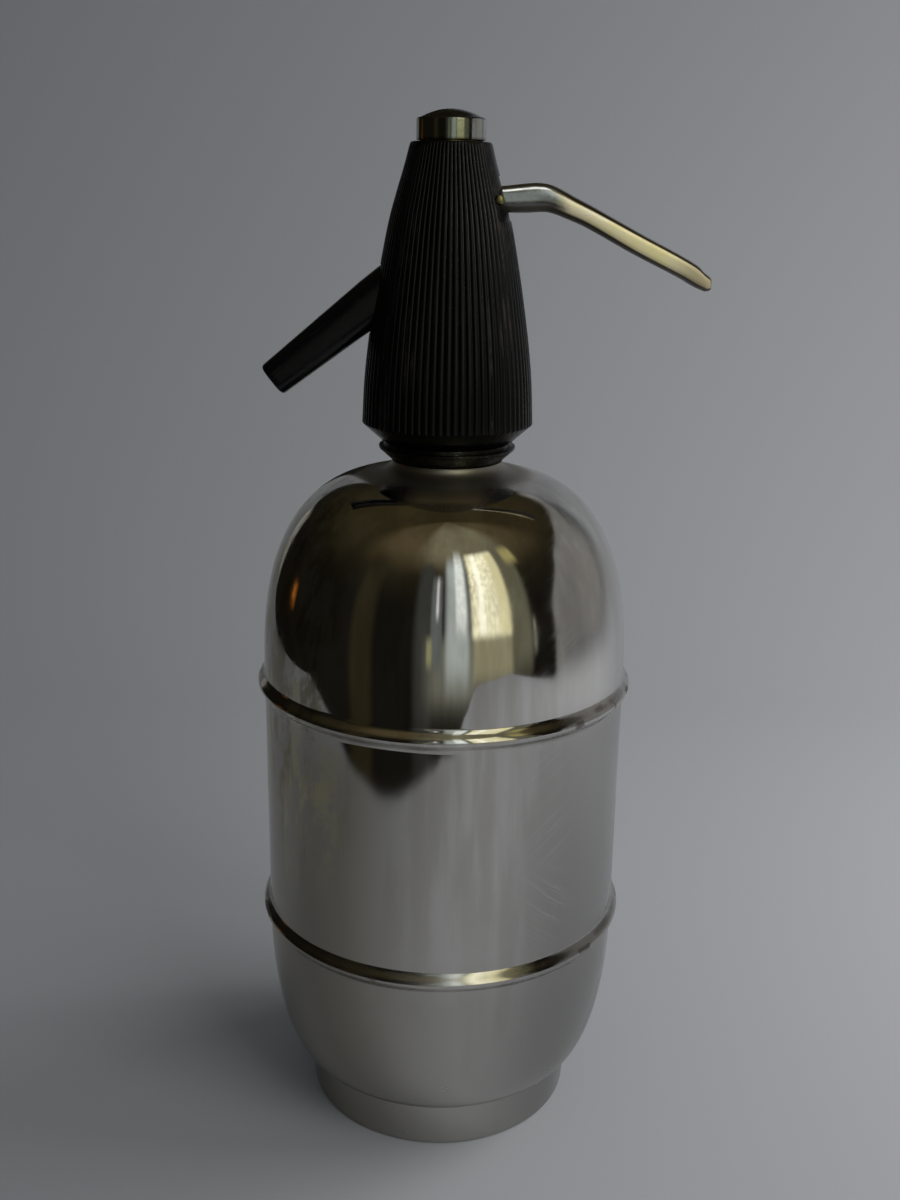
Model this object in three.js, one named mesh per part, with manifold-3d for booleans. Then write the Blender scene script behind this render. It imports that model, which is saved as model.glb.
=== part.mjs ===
// Soda siphon: a swaged steel bottle with a screwed-on fluted head, a side lever and a slanting nozzle.
// Millimetres, +Z up. The origin lies on the bottle's axis, in the plane it stands on.
// The lever points to +X and the nozzle to -X.
import * as THREE from 'three';
import { mergeVertices } from 'three/addons/utils/BufferGeometryUtils.js';
import Module from 'manifold-3d';

const wasm = await Module();
wasm.setup();

// Clearances
const SEAT_GAP = 0.3;
const RUN_GAP = 0.3;
const CUT_OVERRUN = 6;

// Bottle: a drawn shell with two swaged beads, from the foot's top to the neck's rim
const BODY_RADIUS = 50;
const SHELL_WALL = 0.9;
const FOOT_HEIGHT = 13.4;
const CURVE_HEIGHT = 42.8;
const CURVE_DRAW = 11.5;
const BEAD_SPACING = 68.2;
const BEAD_RISE = 1.8;
const BEAD_HALF_WIDTH = 3.2;
const BEAD_FLAT = 0.5;
const SHOULDER_HEIGHT = 54;
const SHOULDER_POWER = 2.45;
const NECK_RADIUS = 14.8;
const NECK_FILLET = 2.6;
const NECK_HEIGHT = 3.2;

// Foot ring and bottom dish
const FOOT_OVERHANG = 0.1;
const FOOT_TAPER = 0.7;
const FOOT_WALL = 1;
const FOOT_HEM_WIDTH = 3;
const FOOT_HEM_THICKNESS = 1;
const DISH_SEAM_WIDTH = 3.1;
const DISH_WALL = 1.1;
const DISH_CROWN_Z = 1.2;
const DISH_CROWN_RADIUS = 18;
const DISH_RIM_DROP = 4.4;
const DISH_RIM_HEIGHT = 7;

// Neck collar: the threaded ring that the head screws on
const COLLAR_WALL = 2.3;
const COLLAR_CONE_HEIGHT = 3;
const COLLAR_FLANGE_STEP = 1.3;
const COLLAR_FLANGE_EDGE = 0.7;
const COLLAR_BAND_STEP = 3;
const COLLAR_BAND_HEIGHT = 1.1;
const COLLAR_THREAD_HEIGHT = 12.5;
const COLLAR_SPIGOT_DEPTH = 2.8;
const THREAD_PITCH = 3;
const THREAD_DEPTH = 0.9;

// Dip tube and the rubber rings that seal it on the rim
const TUBE_RADIUS = 3.6;
const TUBE_WALL = 1;
const TUBE_FOOT_CLEARANCE = 5.7;
const TUBE_FOOT_SLANT = 0.52;
const TUBE_SOCKET_DEPTH = 8;
const TUBE_FLANGE_SETBACK = 0.5;
const TUBE_FLANGE_THICKNESS = 1.2;
const RING_THICKNESS = 1.5;
const RIM_RING_BORE_RADIUS = 9.5;

// Valve stem, disc and yoke
const STEM_RADIUS = 2.2;
const STEM_THREAD_RADIUS = 1.3;
const DISC_RADIUS = 4.5;
const DISC_THICKNESS = 2.2;
const CUP_WALL = 0.7;
const CUP_DEPTH = 1.4;
const CUP_FLOOR = 1.4;
const YOKE_HALF_DEPTH = 3;
const YOKE_BASE = 2;
const YOKE_BRIDGE = 2.2;
const YOKE_SOCKET = 1.6;
const YOKE_CLEARANCE = 0.7;
const YOKE_HEADROOM = 1.1;

// Valve body: turned brass inside the head
const SKIRT_WALL = 2.2;
const WEB_THICKNESS = 3;
const CHAMBER_CLEARANCE = 0.9;
const CHAMBER_HEIGHT = 14.5;
const SEAT_DEPTH = 9;
const HUB_WALL = 3.1;
const HUB_ROOF = 3.3;
const TOWER_RADIUS = 7.2;
const TOWER_WALL = 1;
const TOWER_SLOT_PLAY = 1.1;
const SEAT_HOLE_RADIUS = 2.6;
const SEAT_LIP_INSET = 0.3;
const SEAT_LIP_HEIGHT = 1.2;
const GUIDE_THICKNESS = 2.2;
const PACKING_STEP = 1.3;
const PACKING_DEPTH = 2.5;
const GLAND_THICKNESS = 2.1;
const GLAND_SLOT_DEPTH = 0.9;
const GLAND_SLOT_HALF_WIDTH = 0.7;

// Head cover: the fluted moulding
const COVER_BASE_WALL = 5.95;
const COVER_TOP_MARGIN = 1.55;
const COVER_ABOVE_PIVOT = 13.7;
const COVER_LIP = 0.7;
const COVER_BEVEL_HEIGHT = 4.7;
const COVER_EDGE_RADIUS = 0.5;
const COVER_WALL = 3.2;
const COVER_KNEE_HEIGHT = 3;
const COVER_TOP_THICKNESS = 4;
const RIB_COUNT = 72;
const RIB_DEPTH = 0.42;
const RIB_TAPER_POWER = 0.5;
const PAD_HALF_ANGLE = 0.78;
const PAD_EDGE_ANGLE = 0.16;
const PAD_BELOW_PIVOT = 6.8;
const PAD_HALF_FADE = 3;

// The cover's outer wall: the way from its top radius to its base radius, and from its bevel to its top
const COVER_SHARES = [
  [1, 0],
  [0.95, 0.16],
  [0.862, 0.3],
  [0.729, 0.455],
  [0.584, 0.6],
  [0.42, 0.74],
  [0.235, 0.854],
  [0.113, 0.925],
  [0, 0.993],
];

// Top cap and its washer
const CAP_THREAD_STEP = 0.6;
const CAP_THREAD_LENGTH = 4.6;
const CAP_WALL = 1.85;
const CAP_SIDE_HEIGHT = 4.2;
const CAP_DOME_RISE = 2.6;
const CAP_ROOF = 3;
const CAP_HEADROOM = 1;
const CAP_WASHER_THICKNESS = 0.5;
const CAP_EDGE_RADIUS = 1.1;

// Lever and its pin
const PIVOT_INSET = 1.98;
const PIN_RADIUS = 1.2;
const PIN_DOME = 0.5;
const SLOT_SIDE_PLAY = 0.4;
const SLOT_PLAY_BELOW = 1.75;
const SLOT_PLAY_ABOVE = 2.35;
const TONGUE_HALF_WIDTH = 2;
const TONGUE_NOSE_RADIUS = 2.1;
const LEVER_REACH = 54.7;
const LEVER_DROP = 19.9;
const LEVER_ROOT_HALF_THICKNESS = 3.45;
const LEVER_ROOT_HALF_WIDTH = 3.2;
const LEVER_TIP_HALF_WIDTH = 4.8;
const LEVER_SECTION_POWER = 2.4;

// The tongue, from the stem's axis out: the place as a share of the pivot's distance from that axis,
// and the half thickness as a share of the nose's radius
const TONGUE_SHARES = [
  [0, 0.74],
  [0.28, 0.66],
  [0.54, 0.92],
];

// The arm, from inside the head out: the place and the rise as shares of reach and drop, the half
// thickness as a share of the root's, and the way from the root's half width to the tip's
const ARM_SHARES = [
  [-0.06, 0.004, 0.86, 0],
  [0.05, 0.012, 0.97, 0],
  [0.14, 0.032, 1, 0.01],
  [0.192, 0.041, 0.98, 0.04],
  [0.235, 0.03, 0.93, 0.1],
  [0.28, -0.012, 0.85, 0.2],
  [0.329, -0.07, 0.77, 0.34],
  [0.431, -0.191, 0.67, 0.55],
  [0.656, -0.503, 0.62, 0.82],
  [0.887, -0.819, 0.615, 1],
  [0.978, -0.975, 0.58, 1],
  [1, -1, 0.5, 0.84],
];

// Spout: a metal tube inside the black nozzle, on a slanting axis
const SPOUT_ANGLE = 0.666;
const SPOUT_AXIS_RISE = 2.3;
const SPOUT_TUBE_RADIUS = 2.5;
const SPOUT_TUBE_WALL = 0.7;
const SPOUT_TUBE_DEPTH = 6.2;
const SPOUT_BOSS_WALL = 1.6;
const SPOUT_BOSS_END = 15.8;
const SPOUT_RING_THICKNESS = 1.8;
const SPOUT_RING_WIDTH = 1.5;
const SPOUT_FLARE = 0.6;
const SPOUT_FLARE_THICKNESS = 0.8;
const NOZZLE_ROOT_LENGTH = 6.3;
const NOZZLE_LENGTH = 34.25;
const NOZZLE_ROOT_HEIGHT = 11.8;
const NOZZLE_ROOT_WIDTH = 10.2;
const NOZZLE_TIP_HEIGHT = 9.2;
const NOZZLE_TIP_WIDTH = 8.4;
const NOZZLE_POWER = 3;
const NOZZLE_EDGE = 0.7;
const TIP_RECESS_DEPTH = 2.4;

// Return spring
const SPRING_CLEARANCE = 1.1;
const SPRING_WIRE_RADIUS = 0.5;
const SPRING_TURNS = 5;

// Faces around a turn
const BOTTLE_SEGMENTS = 32;
const COLLAR_SEGMENTS = 24;
const PART_SEGMENTS = 18;
const BORE_SEGMENTS = 12;
const BEAD_STEPS = 6;
const INNER_BEAD_STEPS = 2;
const CURVE_STEPS = 7;
const INNER_CURVE_STEPS = 5;
const SHOULDER_STEPS = 10;
const INNER_SHOULDER_STEPS = 6;
const FILLET_STEPS = 2;
const DOME_STEPS = 4;
const PIN_DOME_STEPS = 2;
const SECTION_STEPS = 16;
const UPRIGHT_TIP_STATIONS = 2;
const SPRING_STEPS = 8;
const WIRE_SIDES = 5;

// Bottle and neck, worked out from the sizes above
const CURVE_FOOT_RADIUS = BODY_RADIUS - CURVE_DRAW;
const CURVE_TOP_Z = FOOT_HEIGHT + CURVE_HEIGHT;
const BEAD_MARGIN = BEAD_HALF_WIDTH + BEAD_FLAT;
const LOWER_BEAD_Z = CURVE_TOP_Z + BEAD_MARGIN;
const UPPER_BEAD_Z = LOWER_BEAD_Z + BEAD_SPACING;
const SHOULDER_START_Z = UPPER_BEAD_Z + BEAD_MARGIN;
const SHOULDER_TOP_Z = SHOULDER_START_Z + SHOULDER_HEIGHT;
const NECK_TOP_Z = SHOULDER_TOP_Z + NECK_HEIGHT;
const FOOT_TOP_RADIUS = CURVE_FOOT_RADIUS + FOOT_OVERHANG;
const FOOT_RADIUS = FOOT_TOP_RADIUS - FOOT_TAPER;
const DISH_RIM_RADIUS = CURVE_FOOT_RADIUS - DISH_SEAM_WIDTH;
const DISH_RIM_Z = FOOT_HEIGHT - DISH_RIM_DROP;
const COLLAR_THREAD_RADIUS = NECK_RADIUS - SHELL_WALL;
const COLLAR_BORE_RADIUS = COLLAR_THREAD_RADIUS - COLLAR_WALL;
const COLLAR_BAND_RADIUS = COLLAR_THREAD_RADIUS + COLLAR_BAND_STEP;
const COLLAR_FLANGE_RADIUS = COLLAR_BAND_RADIUS + COLLAR_FLANGE_STEP;
const COLLAR_SEAT_Z = NECK_TOP_Z + SEAT_GAP;
const COLLAR_FLANGE_Z = COLLAR_SEAT_Z + COLLAR_CONE_HEIGHT;
const COLLAR_BAND_Z = COLLAR_FLANGE_Z + COLLAR_FLANGE_EDGE;
const COLLAR_TOP_Z = COLLAR_BAND_Z + COLLAR_BAND_HEIGHT;
const RIM_Z = COLLAR_TOP_Z + COLLAR_THREAD_HEIGHT;
const HEAD_BOTTOM_Z = COLLAR_TOP_Z + SEAT_GAP;

// Dip tube set, from the rim up
const TUBE_BORE_RADIUS = TUBE_RADIUS - TUBE_WALL;
const TUBE_FLANGE_RADIUS = COLLAR_THREAD_RADIUS - TUBE_FLANGE_SETBACK;
const RIM_RING_Z = RIM_Z + SEAT_GAP;
const TUBE_FLANGE_Z = RIM_RING_Z + RING_THICKNESS + SEAT_GAP;
const HEAD_RING_Z = TUBE_FLANGE_Z + TUBE_FLANGE_THICKNESS + SEAT_GAP;
const WEB_Z = HEAD_RING_Z + RING_THICKNESS + SEAT_GAP;
const TUBE_FOOT_Z = DISH_CROWN_Z + DISH_WALL + TUBE_FOOT_CLEARANCE;
const TUBE_TOP_Z = WEB_Z + TUBE_SOCKET_DEPTH;

// Valve, from the dip tube's top up to the lever's pivot
const CHAMBER_FLOOR_Z = TUBE_TOP_Z + SEAT_DEPTH;
const DISC_Z = CHAMBER_FLOOR_Z + SEAT_LIP_HEIGHT + SEAT_GAP;
const CUP_FLOOR_Z = DISC_Z + DISC_THICKNESS + SEAT_GAP;
const CUP_TOP_Z = CUP_FLOOR_Z + CUP_FLOOR;
const CHAMBER_CEILING_Z = CHAMBER_FLOOR_Z + CHAMBER_HEIGHT;
const HUB_TOP_Z = CHAMBER_CEILING_Z + HUB_ROOF;
const PACKING_Z = CHAMBER_CEILING_Z + GUIDE_THICKNESS;
const GLAND_Z = PACKING_Z + PACKING_DEPTH;
const GLAND_TOP_Z = GLAND_Z + GLAND_THICKNESS;
const YOKE_Z = GLAND_TOP_Z + YOKE_HEADROOM;
const WINDOW_HALF_HEIGHT = TONGUE_NOSE_RADIUS + RUN_GAP;
const PIVOT_Z = YOKE_Z + YOKE_BASE + WINDOW_HALF_HEIGHT;
const YOKE_TOP_Z = PIVOT_Z + WINDOW_HALF_HEIGHT + YOKE_BRIDGE;
const CUP_RADIUS = DISC_RADIUS + RUN_GAP + CUP_WALL;
const CHAMBER_RADIUS = CUP_RADIUS + CHAMBER_CLEARANCE;
const HUB_RADIUS = CHAMBER_RADIUS + HUB_WALL;
const SEAT_LIP_RADIUS = DISC_RADIUS - SEAT_LIP_INSET;
const GUIDE_BORE_RADIUS = STEM_RADIUS + RUN_GAP;

// Tower and cap
const CAP_THREAD_RADIUS = TOWER_RADIUS - CAP_THREAD_STEP;
const TOWER_BORE_RADIUS = CAP_THREAD_RADIUS - TOWER_WALL;
const PACKING_RADIUS = TOWER_BORE_RADIUS - PACKING_STEP;
const YOKE_RADIUS = TOWER_BORE_RADIUS - YOKE_CLEARANCE;
const SPRING_RADIUS = TOWER_BORE_RADIUS - SPRING_CLEARANCE - SPRING_WIRE_RADIUS;
const CAP_BORE_RADIUS = CAP_THREAD_RADIUS + RUN_GAP;
const CAP_RADIUS = CAP_BORE_RADIUS + CAP_WALL;
const COVER_TOP_Z = PIVOT_Z + COVER_ABOVE_PIVOT;
const CAP_WASHER_Z = COVER_TOP_Z + SEAT_GAP;
const CAP_BOTTOM_Z = CAP_WASHER_Z + CAP_WASHER_THICKNESS + SEAT_GAP;
const CAP_SIDE_Z = CAP_BOTTOM_Z + CAP_SIDE_HEIGHT;
const CAP_DOME_Z = CAP_SIDE_Z + CAP_DOME_RISE;
const CAP_CEILING_Z = CAP_DOME_Z - CAP_ROOF;
const TOWER_TOP_Z = CAP_CEILING_Z - CAP_HEADROOM;

// Cover, slot and pin
const SKIRT_BORE_RADIUS = COLLAR_THREAD_RADIUS + RUN_GAP;
const SKIRT_RADIUS = SKIRT_BORE_RADIUS + SKIRT_WALL;
const COVER_BORE_RADIUS = SKIRT_RADIUS + RUN_GAP;
const COVER_BASE_RADIUS = COVER_BORE_RADIUS + COVER_BASE_WALL;
const COVER_BEVEL_RADIUS = COVER_BORE_RADIUS + COVER_LIP;
const COVER_BEVEL_TOP_Z = HEAD_BOTTOM_Z + COVER_BEVEL_HEIGHT;
const COVER_TOP_RADIUS = CAP_RADIUS + COVER_TOP_MARGIN;
const COVER_TOP_BORE_RADIUS = TOWER_RADIUS + RUN_GAP;
const COVER_PIVOT_RADIUS = coverRadiusAt(PIVOT_Z);
const PIVOT_X = COVER_PIVOT_RADIUS - PIVOT_INSET;
const PIN_HALF_LENGTH = Math.sqrt(COVER_PIVOT_RADIUS ** 2 - PIVOT_X ** 2) - PIN_DOME;
const SLOT_HALF_WIDTH = LEVER_ROOT_HALF_WIDTH + SLOT_SIDE_PLAY;
const SLOT_BOTTOM_Z = PIVOT_Z - LEVER_ROOT_HALF_THICKNESS - SLOT_PLAY_BELOW;
const SLOT_TOP_Z = PIVOT_Z + LEVER_ROOT_HALF_THICKNESS + SLOT_PLAY_ABOVE;
const TOWER_SLOT_Z = PIVOT_Z - TONGUE_NOSE_RADIUS - TOWER_SLOT_PLAY;

// Spout, along its axis
const SPOUT_AXIS_Z = CHAMBER_CEILING_Z + SPOUT_AXIS_RISE;
const SPOUT_PORT_START = CHAMBER_RADIUS - RUN_GAP;
const SPOUT_BORE_RADIUS = SPOUT_TUBE_RADIUS - SPOUT_TUBE_WALL;
const SPOUT_SLEEVE_RADIUS = SPOUT_TUBE_RADIUS + RUN_GAP;
const SPOUT_BOSS_RADIUS = SPOUT_SLEEVE_RADIUS + SPOUT_BOSS_WALL;
const SPOUT_TUBE_START = SPOUT_BOSS_END - SPOUT_TUBE_DEPTH;
const SPOUT_RING_START = SPOUT_BOSS_END + SEAT_GAP;
const SPOUT_RING_END = SPOUT_RING_START + SPOUT_RING_THICKNESS;
const NOZZLE_START = SPOUT_RING_END + SEAT_GAP;
const NOZZLE_ROOT = NOZZLE_START + NOZZLE_ROOT_LENGTH;
const NOZZLE_END = NOZZLE_ROOT + NOZZLE_LENGTH;
const TIP_RECESS_START = NOZZLE_END - TIP_RECESS_DEPTH;
const TIP_RECESS_RADIUS = SPOUT_TUBE_RADIUS + SPOUT_FLARE;

// Finishes
const STEEL = { color: 0xb9b8b0, roughness: 0.16, metalness: 1 };
const CHROME = { color: 0xc9c9c6, roughness: 0.1, metalness: 1 };
const BRASS = { color: 0xb98f45, roughness: 0.32, metalness: 1 };
const BAKELITE = { color: 0x0b0c0c, roughness: 0.3, metalness: 0 };
const RUBBER = { color: 0x1b1a19, roughness: 0.85, metalness: 0 };
const FIBRE = { color: 0x3a2a20, roughness: 0.9, metalness: 0 };

// A closed body of revolution about Z from a loop of [radius, height] points.
// Points on the axis may open and close the loop.
function revolve(points, segments = PART_SEGMENTS) {
  const loop = points.map(([radius, height]) => new THREE.Vector2(radius, height));
  if (THREE.ShapeUtils.area(loop) < 0) {
    loop.reverse();
  }
  const startsOnAxis = loop.findIndex((point, index) => {
    const before = loop[(index + loop.length - 1) % loop.length];
    return point.x === 0 && before.x === 0;
  });
  const turned = startsOnAxis < 0
    ? [...loop, loop[0]]
    : [...loop.slice(startsOnAxis), ...loop.slice(0, startsOnAxis)];
  const geometry = new THREE.LatheGeometry(turned, segments);
  geometry.rotateX(Math.PI / 2);
  return weld(geometry);
}

// Shared corners only, with the slivers on the axis left out.
function weld(geometry) {
  geometry.deleteAttribute('normal');
  geometry.deleteAttribute('uv');
  const welded = mergeVertices(geometry);
  const index = welded.index.array;
  const kept = [];
  for (let corner = 0; corner < index.length; corner += 3) {
    const [a, b, c] = [index[corner], index[corner + 1], index[corner + 2]];
    if (a !== b && b !== c && a !== c) {
      kept.push(a, b, c);
    }
  }
  welded.setIndex(kept);
  return welded;
}

// A closed body through rings of equal point count, given as arrays of Vector3.
// The first ring's loop runs clockwise when seen along the way to the last.
function loft(rings) {
  const positions = [];
  const indices = [];
  const count = rings[0].length;
  rings.forEach((ring) => ring.forEach((point) => positions.push(point.x, point.y, point.z)));
  for (let level = 0; level + 1 < rings.length; level += 1) {
    for (let side = 0; side < count; side += 1) {
      const next = (side + 1) % count;
      const low = level * count;
      const high = low + count;
      indices.push(low + side, low + next, high + next);
      indices.push(low + side, high + next, high + side);
    }
  }
  const last = (rings.length - 1) * count;
  for (let side = 1; side + 1 < count; side += 1) {
    indices.push(0, side + 1, side);
    indices.push(last, last + side, last + side + 1);
  }
  const geometry = new THREE.BufferGeometry();
  geometry.setAttribute('position', new THREE.Float32BufferAttribute(positions, 3));
  geometry.setIndex(indices);
  return outward(geometry);
}

// Turns every face round if the body's volume comes out negative.
function outward(geometry) {
  const position = geometry.attributes.position;
  const index = geometry.index.array;
  const [a, b, c] = [new THREE.Vector3(), new THREE.Vector3(), new THREE.Vector3()];
  let volume = 0;
  for (let corner = 0; corner < index.length; corner += 3) {
    a.fromBufferAttribute(position, index[corner]);
    b.fromBufferAttribute(position, index[corner + 1]);
    c.fromBufferAttribute(position, index[corner + 2]);
    volume += a.dot(b.cross(c));
  }
  if (volume < 0) {
    for (let corner = 0; corner < index.length; corner += 3) {
      [index[corner + 1], index[corner + 2]] = [index[corner + 2], index[corner + 1]];
    }
  }
  return geometry;
}

function toSolid(geometry) {
  const welded = weld(geometry.clone());
  return new wasm.Manifold(new wasm.Mesh({
    numProp: 3,
    vertProperties: new Float32Array(welded.attributes.position.array),
    triVerts: new Uint32Array(welded.index.array),
  }));
}

function toGeometry(solid) {
  const mesh = solid.getMesh();
  const geometry = new THREE.BufferGeometry();
  geometry.setAttribute('position', new THREE.Float32BufferAttribute(mesh.vertProperties, 3));
  geometry.setIndex(Array.from(mesh.triVerts));
  return geometry;
}

// The base geometry with every tool cut away.
function cut(base, tools) {
  const result = tools.reduce((solid, tool) => solid.subtract(toSolid(tool)), toSolid(base));
  return toGeometry(result);
}

function join(base, additions) {
  const result = additions.reduce((solid, addition) => solid.add(toSolid(addition)), toSolid(base));
  return toGeometry(result);
}

function cylinder(radius, low, high, segments = PART_SEGMENTS) {
  return revolve([[0, low], [radius, low], [radius, high], [0, high]], segments);
}

function ring(inner, outer, low, high, segments = PART_SEGMENTS) {
  return revolve([[inner, low], [outer, low], [outer, high], [inner, high]], segments);
}

function block(low, high) {
  const size = new THREE.Vector3().subVectors(high, low);
  const geometry = new THREE.BoxGeometry(size.x, size.y, size.z);
  geometry.translate(low.x + size.x / 2, low.y + size.y / 2, low.z + size.z / 2);
  return geometry;
}

// A cylinder on the lever pin's axis.
function crossCylinder(radius, halfLength, segments = PART_SEGMENTS) {
  const geometry = cylinder(radius, -halfLength, halfLength, segments);
  geometry.rotateX(Math.PI / 2);
  geometry.translate(PIVOT_X, 0, PIVOT_Z);
  return geometry;
}

// Stands a body modelled along +Z on the spout's axis, with heights as distances from the head's axis.
function onSpoutAxis(geometry) {
  geometry.rotateY(-(Math.PI / 2 + SPOUT_ANGLE));
  geometry.translate(0, 0, SPOUT_AXIS_Z);
  return geometry;
}

// Points of a superellipse quarter between two radii and two heights.
function superQuarter(outerRadius, innerRadius, startZ, endZ, power, steps) {
  const points = [];
  for (let step = 0; step < steps; step += 1) {
    const angle = (step / steps) * (Math.PI / 2);
    const across = Math.cos(angle) ** (2 / power);
    const along = Math.sin(angle) ** (2 / power);
    points.push([innerRadius + (outerRadius - innerRadius) * across, startZ + (endZ - startZ) * along]);
  }
  points.push([innerRadius, endZ]);
  return points;
}

// The shell's wall from the foot to the neck's top, drawn in by the given inset.
function shellProfile(inset, curveSteps, beadSteps, shoulderSteps) {
  const radius = BODY_RADIUS - inset;
  const neckRadius = NECK_RADIUS - inset;
  const topZ = SHOULDER_TOP_Z - inset;
  const foot = superQuarter(
    radius, CURVE_FOOT_RADIUS - inset, CURVE_TOP_Z, FOOT_HEIGHT + inset, 2, curveSteps,
  ).reverse();
  const beads = [LOWER_BEAD_Z, UPPER_BEAD_Z].flatMap((height) => beadProfile(radius, height, beadSteps));
  const shoulder = superQuarter(radius, neckRadius, SHOULDER_START_Z, topZ, SHOULDER_POWER, shoulderSteps);
  return [
    ...foot,
    ...beads,
    ...shoulder.filter(([reach]) => reach > neckRadius + NECK_FILLET),
    ...neckFillet(neckRadius, topZ),
    [neckRadius, NECK_TOP_Z],
  ];
}

// The hollow curve from the shoulder's top up into the neck.
function neckFillet(neckRadius, topZ) {
  const points = [];
  for (let step = 0; step <= FILLET_STEPS; step += 1) {
    const angle = (step / FILLET_STEPS) * (Math.PI / 2);
    const across = NECK_FILLET * (1 - Math.sin(angle));
    const along = NECK_FILLET * (1 - Math.cos(angle));
    points.push([neckRadius + across, topZ + along]);
  }
  return points;
}

// One swaged bead: a cosine ridge that runs out in a hollow above and below.
function beadProfile(radius, height, steps) {
  const points = [];
  for (let step = 0; step <= steps; step += 1) {
    const share = (2 * step) / steps - 1;
    const rise = (BEAD_RISE * (1 + Math.cos(Math.PI * share))) / 2;
    points.push([radius + rise, height + share * BEAD_HALF_WIDTH]);
  }
  return points;
}

function bodyShell() {
  const outer = shellProfile(0, CURVE_STEPS, BEAD_STEPS, SHOULDER_STEPS);
  const inner = shellProfile(SHELL_WALL, INNER_CURVE_STEPS, INNER_BEAD_STEPS, INNER_SHOULDER_STEPS).reverse();
  const lipRadius = DISH_RIM_RADIUS + SEAT_GAP;
  const lipZ = FOOT_HEIGHT + SHELL_WALL;
  return revolve([[lipRadius, FOOT_HEIGHT], ...outer, ...inner, [lipRadius, lipZ]], BOTTLE_SEGMENTS);
}

// The pressed bottom bulges down to a flat crown, and its upright rim is welded into the shell.
function bottomDish() {
  const curve = (inset) => superQuarter(
    DISH_RIM_RADIUS - inset, DISH_CROWN_RADIUS, DISH_RIM_Z, DISH_CROWN_Z + inset, 2, DOME_STEPS,
  );
  const rimZ = DISH_RIM_Z + DISH_RIM_HEIGHT;
  const under = [[DISH_RIM_RADIUS, rimZ], ...curve(0), [0, DISH_CROWN_Z]];
  const inside = [[0, DISH_CROWN_Z + DISH_WALL], ...curve(DISH_WALL).reverse()];
  return revolve([...under, ...inside, [DISH_RIM_RADIUS - DISH_WALL, rimZ]], BOTTLE_SEGMENTS);
}

function footRing() {
  const topZ = FOOT_HEIGHT - SEAT_GAP;
  return revolve([
    [FOOT_RADIUS - FOOT_HEM_WIDTH, 0],
    [FOOT_RADIUS, 0],
    [FOOT_TOP_RADIUS, topZ],
    [FOOT_TOP_RADIUS - FOOT_WALL, topZ],
    [FOOT_RADIUS - FOOT_WALL, FOOT_HEM_THICKNESS],
    [FOOT_RADIUS - FOOT_HEM_WIDTH, FOOT_HEM_THICKNESS],
  ], BOTTLE_SEGMENTS);
}

// The collar's spigot stands in the neck, its flange on the neck's rim, and its thread takes the head.
function neckCollar() {
  const grooves = [];
  const first = COLLAR_TOP_Z + THREAD_PITCH;
  for (let z = first; z < RIM_Z - THREAD_PITCH / 2; z += THREAD_PITCH) {
    grooves.push([COLLAR_THREAD_RADIUS, z - THREAD_PITCH / 2]);
    grooves.push([COLLAR_THREAD_RADIUS - THREAD_DEPTH, z - THREAD_PITCH / 4]);
    grooves.push([COLLAR_THREAD_RADIUS, z]);
  }
  return revolve([
    [COLLAR_BORE_RADIUS, NECK_TOP_Z - COLLAR_SPIGOT_DEPTH],
    [NECK_RADIUS - SHELL_WALL - RUN_GAP, NECK_TOP_Z - COLLAR_SPIGOT_DEPTH],
    [NECK_RADIUS - SHELL_WALL - RUN_GAP, COLLAR_SEAT_Z],
    [NECK_RADIUS, COLLAR_SEAT_Z],
    [COLLAR_FLANGE_RADIUS, COLLAR_FLANGE_Z],
    [COLLAR_FLANGE_RADIUS, COLLAR_BAND_Z],
    [COLLAR_BAND_RADIUS, COLLAR_BAND_Z],
    [COLLAR_BAND_RADIUS, COLLAR_TOP_Z],
    [COLLAR_THREAD_RADIUS, COLLAR_TOP_Z],
    ...grooves,
    [COLLAR_THREAD_RADIUS, RIM_Z],
    [COLLAR_BORE_RADIUS, RIM_Z],
  ], COLLAR_SEGMENTS);
}

function rimRing() {
  return ring(RIM_RING_BORE_RADIUS, TUBE_FLANGE_RADIUS, RIM_RING_Z, RIM_RING_Z + RING_THICKNESS);
}

function tubeFlange() {
  const bore = TUBE_RADIUS + RUN_GAP;
  return ring(bore, TUBE_FLANGE_RADIUS, TUBE_FLANGE_Z, TUBE_FLANGE_Z + TUBE_FLANGE_THICKNESS);
}

function headRing() {
  const bore = TUBE_RADIUS + 2 * RUN_GAP;
  return ring(bore, TUBE_FLANGE_RADIUS, HEAD_RING_Z, HEAD_RING_Z + RING_THICKNESS);
}

// The tube's foot is cut on the slant so that it can't seal against the bottom.
function dipTube() {
  const tube = ring(TUBE_BORE_RADIUS, TUBE_RADIUS, TUBE_FOOT_Z, TUBE_TOP_Z, BORE_SEGMENTS);
  const slant = block(
    new THREE.Vector3(-CUT_OVERRUN, -CUT_OVERRUN, -CUT_OVERRUN),
    new THREE.Vector3(CUT_OVERRUN, CUT_OVERRUN, 0),
  );
  slant.rotateY(TUBE_FOOT_SLANT);
  slant.translate(0, 0, TUBE_FOOT_Z + TUBE_RADIUS / 2);
  return cut(tube, [slant]);
}

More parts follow.
